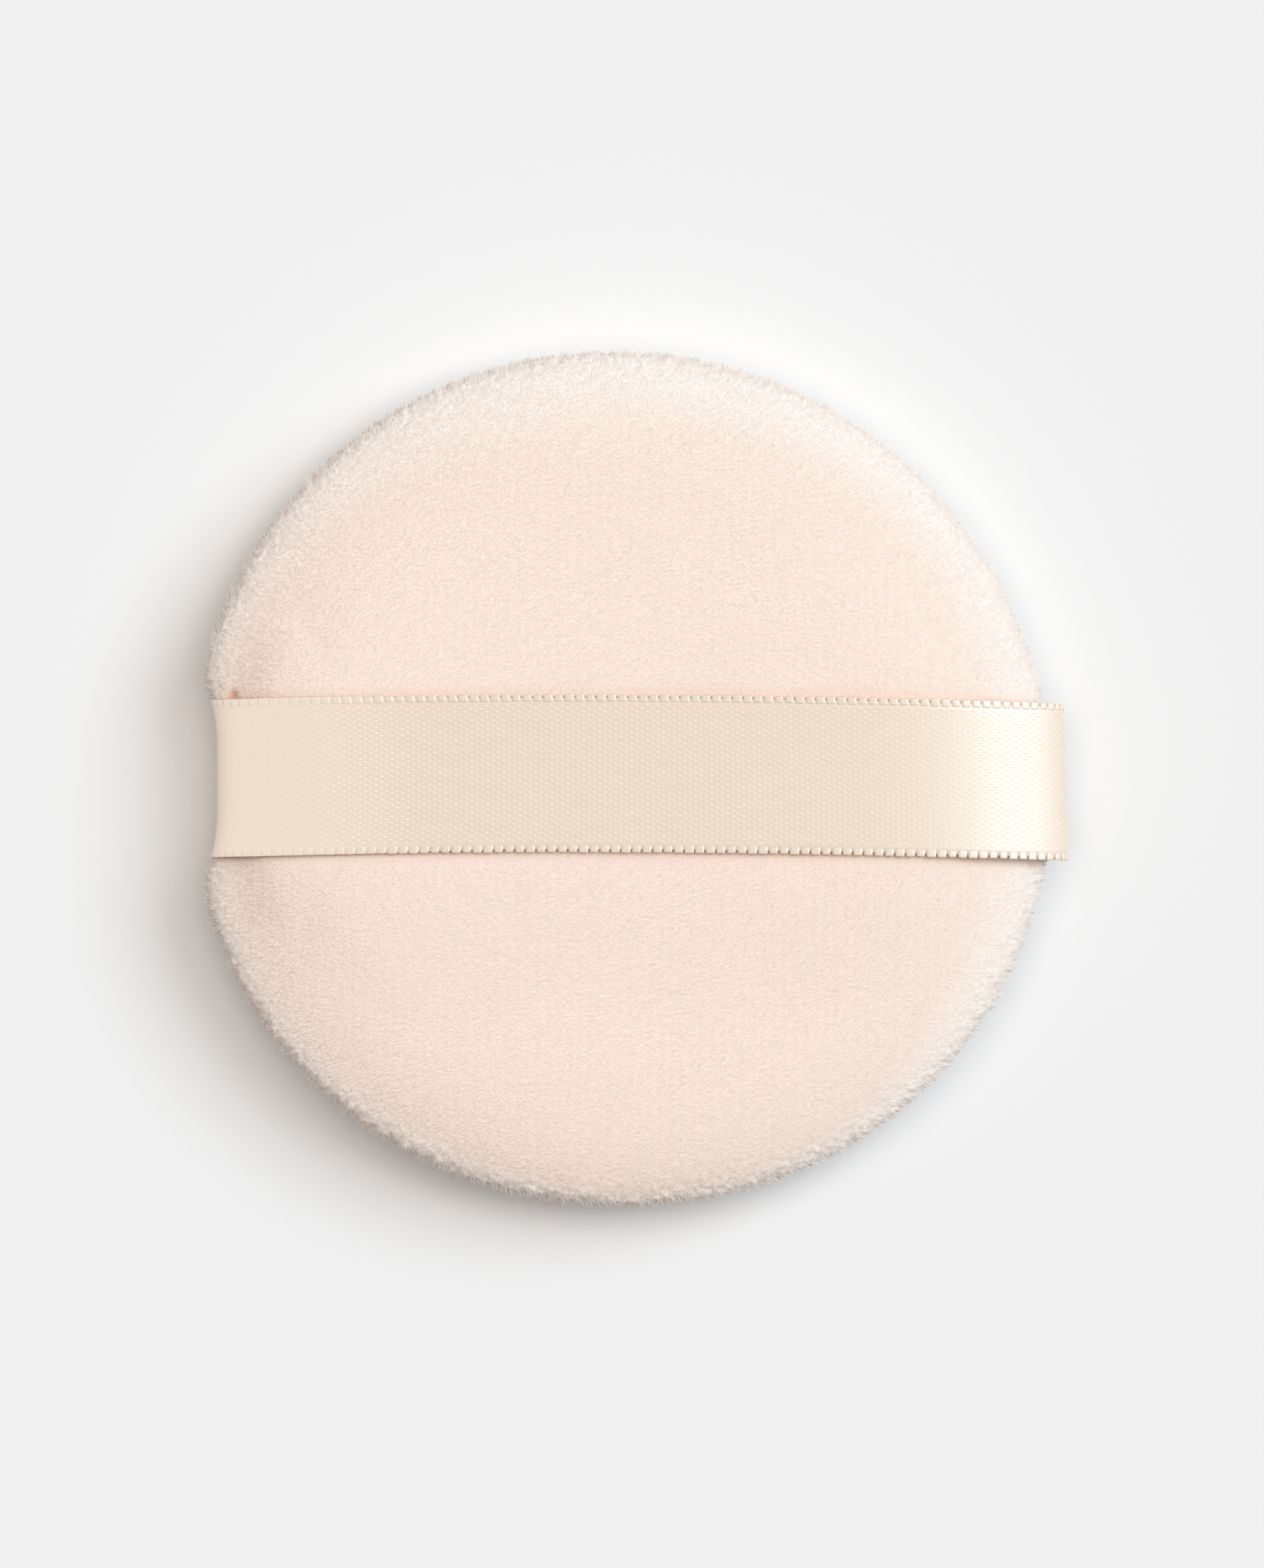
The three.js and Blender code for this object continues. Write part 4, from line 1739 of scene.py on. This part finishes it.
def picot_recipe() -> Recipe:
    """Set out the picots: a puffed pad of thread at each step of both edges.

    Returns:
        The tree. It makes its own line, so the starting mesh is empty.
    """
    recipe = Recipe(
        "ribbon_picots",
        length=100 * MM,
        edge=7 * MM,
        pitch=1 * MM,
        depth=0.8 * MM,
        thickness=0.3 * MM,
        level=0.0,
    )
    length, edge, pitch = recipe.given("length", "edge", "pitch")
    depth, thickness, level = recipe.given("depth", "thickness", "level")
    cube = recipe.add("GeometryNodeMeshCube", {"Size": (1.0, 1.0, 1.0)})
    inputs = {"Mesh": cube, "Level": 2, "Edge Crease": 0.6}
    puffed = recipe.add("GeometryNodeSubdivisionSurface", inputs)
    filled = 0.82  # how much of its pitch a picot fills
    size = recipe.vector(pitch * filled, depth, thickness)
    pad = recipe.add("GeometryNodeTransform", {"Geometry": puffed, "Scale": size})
    count = recipe.sum("FLOOR", length / pitch)
    step = recipe.vector(pitch, 0.0, 0.0)
    rows = []
    for side, start, turn in ((1, 0.5, 0.0), (-1, 0.85, math.pi)):
        first = recipe.vector(pitch * start, (edge - depth * 0.5) * float(side), level)
        inputs = {"Count": count, "Start Location": first, "Offset": step}
        modes = {"mode": "OFFSET", "count_mode": "TOTAL"}
        line = recipe.add("GeometryNodeMeshLine", inputs, **modes)
        uneven = recipe.random(0.9, 1.1, 2 + side)
        scale = recipe.vector(uneven, uneven, 1.0)
        inputs = {"Points": line, "Instance": pad, "Rotation": (0.0, 0.0, turn), "Scale": scale}
        rows.append(recipe.add("GeometryNodeInstanceOnPoints", inputs))
    both = recipe.add("GeometryNodeJoinGeometry", {0: rows[0]})
    recipe.graph.links.new(rows[1].socket, both.socket.node.inputs[0])
    recipe.end(both)
    return recipe


# The threads


@dataclass
class Stitching:
    """All sewing of the puff: lockstitch, stay stitches and the ladder stitch that closes it."""

    pad: PadShape
    ribbon: FingerRibbon
    stitch_pitch: float = 4.5 * MM
    ladder_pitch: float = 3 * MM
    closing_length: float = 26 * MM
    closing_angle: float = math.radians(255)
    stay_margin: float = 1.4 * MM
    stay_pitch: float = 2.4 * MM
    stay_inset: float = 0.9 * MM
    ply_lay: float = 0.9 * MM
    step: float = 0.22 * MM
    arch_lead: float = 1.5  # in thread diameters
    arch_waist: float = 0.88  # how wide an arch is at its turn, against its foot

    @property
    def closing_span(self) -> float:
        """Angle of the gap through which the puff was turned."""
        return self.closing_length / self.pad.seam_radius

    def lockstitch(self, pattern: list[tuple[float, float, float]]) -> np.ndarray:
        """Repeat a stitch round the rim, up to both ends of the closing gap.

        Args:
            pattern: distance ahead and outward, and height, of each point of one stitch.

        Returns:
            The thread's points.
        """
        span = 2 * math.pi - self.closing_span
        count = round(span * self.pad.seam_radius / self.stitch_pitch)
        start = self.closing_angle + self.closing_span / 2
        angles = start + span * np.arange(count + 1) / count
        ahead, outward, height = np.array(pattern).T
        angle = (angles[:, None] + ahead / self.pad.seam_radius).ravel()
        radius = self.pad.seam_radius + np.tile(outward, count + 1)
        return self.pad.places(angle, radius, np.tile(height, count + 1))

    def rim_threads(self) -> tuple[np.ndarray, np.ndarray]:
        """Link both threads of the rim: one dips under the other's arch at each stitch.

        Returns:
            The needle thread's points, and the bobbin thread's.
        """
        link = self.pad.link_reach
        lead = self.pad.thread_diameter * self.arch_lead
        run = self.pad.run_height
        waist = link * self.arch_waist
        needle = [
            (-lead, link, run),
            (0, link, run - lead),
            (0, waist, -link / 2),
            (0, -waist, -link / 2),
            (0, -link, run - lead),
            (lead, -link, run),
        ]
        bobbin = [
            (-link - lead, 0, -run),
            (-link, 0, lead - run),
            (-waist, 0, link / 2),
            (waist, 0, link / 2),
            (link, 0, lead - run),
            (link + lead, 0, -run),
        ]
        return self.lockstitch(needle), self.lockstitch(bobbin)

    def ladder_stitch(self) -> np.ndarray:
        """Run inside the fold of one cover, cross the gap, and run inside the other.

        Returns:
            The thread's points.
        """
        pad = self.pad
        radius = pad.fold_radius - pad.thread_reach - pad.thread_gap
        height = pad.seam_gap / 2 + pad.turned_thickness / 2
        rungs = round(self.closing_length / self.ladder_pitch)
        first = self.closing_angle - self.closing_span / 2
        angles = first + self.closing_span * np.arange(rungs + 1) / rungs
        angle = np.repeat(angles, 2)[1:-1]
        level = np.repeat(np.where(np.arange(rungs) % 2, -height, height), 2)
        return pad.places(angle, np.full_like(angle, radius), level)

    def stay_stitch(self, side: int) -> np.ndarray:
        """Run across a ribbon end, over the top cover's turned edge and under the ribbon.

        Args:
            side: -1 for the left end and 1 for the right end.

        Returns:
            The thread's points.
        """
        pad, ribbon = self.pad, self.ribbon
        span = ribbon.width - 2 * self.stay_margin
        gaps = 2 * round(span / self.stay_pitch / 2) - 1
        under = -(ribbon.thickness / 2 + pad.thread_reach)
        across = [-span / 2 - self.stay_margin / 2]
        level = [pad.run_height]
        for crossing in range(gaps + 1):
            across += [span * (crossing / gaps - 1 / 2)] * 2
            level += [under, pad.run_height] if crossing % 2 else [pad.run_height, under]
        across.append(span / 2 + self.stay_margin / 2)
        level.append(pad.run_height)
        signed = np.full(len(across), side * (ribbon.end + self.stay_inset))
        share = signed / pad.radius
        sway = ribbon.bow * (1 - share**2) - ribbon.drift * share
        y = np.array(across)
        x = ribbon.reach_along(signed, y)
        return np.stack([x, y + sway, pad.seam_height + np.array(level)], axis=1)

    def build(self, finish: bpy.types.Material) -> list[tuple[bpy.types.Object, str]]:
        """Spin each thread along its path.

        Args:
            finish: the threads' material.

        Returns:
            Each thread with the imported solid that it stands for.
        """
        needle, bobbin = self.rim_threads()
        paths = {
            "rim_needle_thread": needle,
            "rim_bobbin_thread": bobbin,
            "left_stay_thread": self.stay_stitch(-1),
            "right_stay_thread": self.stay_stitch(1),
            "closing_thread": self.ladder_stitch(),
        }
        recipe = thread_recipe()
        made = []
        for node, path in paths.items():
            line = bpy.data.meshes.new(node)
            pairs = [(at, at + 1) for at in range(len(path) - 1)]
            line.from_pydata(path.tolist(), pairs, [])
            piece = recipe.make(
                f"{node}_plies",
                line,
                diameter=self.pad.thread_diameter,
                ply_lay=self.ply_lay,
                step=self.step,
                finish=finish,
            )
            made.append((piece, node))
        return made

    def dress(self, threads: list[tuple[bpy.types.Object, str]]) -> None:
        """Put the threads in the puff."""
        for piece, node in threads:
            set_out(piece, "thread", node)


def thread_recipe() -> Recipe:
    """Set out a thread: three plies twisted together along a path.

    Returns:
        The tree. The starting mesh holds the path as a chain of edges.
    """
    recipe = Recipe("twisted_thread", diameter=0.25 * MM, ply_lay=1 * MM, step=0.2 * MM)
    diameter, lay, step = recipe.given("diameter", "ply_lay", "step")
    line = recipe.add("GeometryNodeMeshToCurve", {0: recipe.start})
    inputs = {"Curve": line, "Length": step}
    fine = recipe.add("GeometryNodeResampleCurve", inputs, mode="LENGTH")
    along = recipe.add("GeometryNodeSplineParameter", output="Length")
    tilt = along / lay * (2 * math.pi)
    twisted = recipe.add("GeometryNodeSetCurveTilt", {"Curve": fine, "Tilt": tilt})
    plies, ply_points, lobe = 3, 5, 0.14
    inputs = {"Resolution": plies * ply_points, "Radius": diameter * 0.5}
    ring = recipe.add("GeometryNodeCurvePrimitiveCircle", inputs)
    number = recipe.add("GeometryNodeInputIndex")
    lobes = recipe.sum("COSINE", number * (2 * math.pi / ply_points)) * lobe + (1 - lobe)
    lobed = recipe.move("SCALE", recipe.add("GeometryNodeInputPosition"), lobes)
    profile = recipe.add("GeometryNodeSetPosition", {"Geometry": ring, "Position": lobed})
    inputs = {"Curve": twisted, "Profile Curve": profile, "Fill Caps": True}
    recipe.end(recipe.add("GeometryNodeCurveToMesh", inputs))
    return recipe


# The set


@dataclass
class Studio:
    """Pale paper floor, soft lamps from the upper right and overhead, and a camera over the puff.

    Only the key softbox shows in the ribbon's shine. The sky is brighter beyond the top edge.
    """

    camera_height: float = 0.75
    aim: tuple[float, float, float] = (1.13 * MM, -0.36 * MM, 7.6 * MM)
    key_azimuth: float = math.radians(25)
    key_tilt: float = math.radians(42)
    key_spread: float = math.radians(38)
    key_light: tuple[float, float, float] = (0.34, 0.39, 0.43)
    top_spread: float = math.radians(45)
    top_tilt: float = math.radians(5)
    top_light: tuple[float, float, float] = (0.49, 0.45, 0.42)
    sky_light: tuple[float, float, float] = (0.17, 0.16, 0.15)
    far_side: float = math.radians(100)
    paper: str = "#f0f0f0"
    paper_reach: float = 2.0

    def build_camera(self) -> None:
        """Hang the camera over the puff, to frame it as the photograph does."""
        lens = bpy.data.cameras.new("overhead")
        lens.lens = lens.sensor_width * self.camera_height * PIXELS_PER_METRE / PHOTO_HEIGHT
        camera = bpy.data.objects.new("overhead", lens)
        camera.location = Vector(self.aim) + Vector((0, 0, self.camera_height))
        bpy.context.scene.collection.objects.link(camera)
        bpy.context.scene.camera = camera

    def build_lamp(
        self, name: str, light: tuple[float, float, float], spread: float, tilt: float, azimuth: float
    ) -> bpy.types.Object:
        """Hang a far softbox, which lights the whole set evenly.

        Args:
            name: the lamp's name.
            light: how much of the floor's light comes from it, in red, green and blue.
            spread: the angle that it covers, seen from the puff.
            tilt: its angle from straight overhead.
            azimuth: the side that it hangs on, as an angle from +X round to +Y.

        Returns:
            The lamp.
        """
        sun = bpy.data.lights.new(name, "SUN")
        sun.angle = spread
        sun.color = light
        sun.energy = math.pi / math.cos(tilt)
        lamp = bpy.data.objects.new(name, sun)
        lamp.rotation_euler = (0, tilt, azimuth)
        bpy.context.scene.collection.objects.link(lamp)
        return lamp

    def build_sky(self) -> None:
        """Light the puff a little from all round, and show a pale backdrop in the sky's place."""
        world = bpy.data.worlds.new("even_sky")
        world.use_nodes = True
        bpy.context.scene.world = world
        tree = Tree(world.node_tree)
        tree.graph.nodes.clear()
        ray = tree.add("ShaderNodeLightPath", output="Is Camera Ray")
        seen = ray
        for other in ("Is Glossy Ray", "Is Transmission Ray"):
            seen = tree.sum("MAXIMUM", seen, ray.other(other))
        way = tree.add("ShaderNodeTexCoord", output="Generated")
        side = (math.cos(self.far_side), math.sin(self.far_side), 0.0)
        level = tree.move("DOT_PRODUCT", way, side, "Value") + 1.0
        sky = {"Color": (*self.sky_light, 1.0), "Strength": level}
        light = tree.add("ShaderNodeBackground", sky)
        backdrop = {"Color": linear(self.paper), "Strength": 1.0}
        shown = tree.add("ShaderNodeBackground", backdrop)
        both = tree.add("ShaderNodeMixShader", {0: seen, 1: light, 2: shown})
        tree.close("ShaderNodeOutputWorld", both)

    def build_floor(self) -> None:
        """Lay the paper floor, which takes the shadow."""
        corners = np.array([[-1, -1, 0], [1, -1, 0], [1, 1, 0], [-1, 1, 0]]) * self.paper_reach
        floor = new_piece("paper_floor", new_mesh("paper_floor", corners, [(0, 1, 2, 3)]))
        paint = Paint("pale_paper", roughness=1.0, specular_ior_level=0.0, base_color=linear(self.paper))
        floor.data.materials.append(paint.material)

    def build(self) -> None:
        """Set up the camera, the light and the floor."""
        self.build_camera()
        self.build_lamp("key_softbox", self.key_light, self.key_spread, self.key_tilt, self.key_azimuth)
        top = self.build_lamp(
            "top_softbox", self.top_light, self.top_spread, self.top_tilt, self.far_side
        )
        top.visible_glossy = False
        self.build_sky()
        self.build_floor()
        bpy.context.scene.view_settings.view_transform = "Standard"


def main() -> None:
    """Build the set, then the covers, foam, ribbon and threads in order."""
    Studio().build()
    pad = PadShape.from_frame()
    ribbon = FingerRibbon(pad)
    covers = [
        Cover(Half.TOP, pad, ribbon),
        Cover(
            Half.BASE,
            pad,
            ribbon,
            turns=600,
            rim_pitch=0.45 * MM,
            rim_pile=0.3 * MM,
            pile_density=16 / MM**2,
            fibre_width=0.14 * MM,
        ),
    ]
    lines = [cover.outside(cover.swell_room)[0] for cover in covers]
    start = np.concatenate([lines[0], lines[1][::-1] * [1, -1]])
    body = StuffedBody().swollen(pad, start)
    backing = BackingFinish().material()
    fibres = PileFinish().material()
    recipe = pile_recipe()
    for cover in covers:
        cover.build_skin(body)
        cover.dress(backing, cover.build_pile(recipe, fibres))
    foam = FoamCore(pad)
    foam.dress(foam.build(), FoamFinish().material())
    satin = SatinFinish().material(ribbon.width, ribbon.length)
    # The floats are painted paler than the ground between them, as painted sheen.
    painted_sheen_floats = SatinFinish("satin_floats", "#eedeca", "#e6d2bb").material(ribbon.width, ribbon.length)
    band = ribbon.build_band()
    ribbon.dress(band, [ribbon.build_floats(painted_sheen_floats), ribbon.build_picots(satin)], satin)
    log.info("the flat ribbon is %.1f mm long", ribbon.length / MM)
    stitching = Stitching(pad, ribbon)
    stitching.dress(stitching.build(ThreadFinish().material()))


if __name__ == "__main__":
    main()
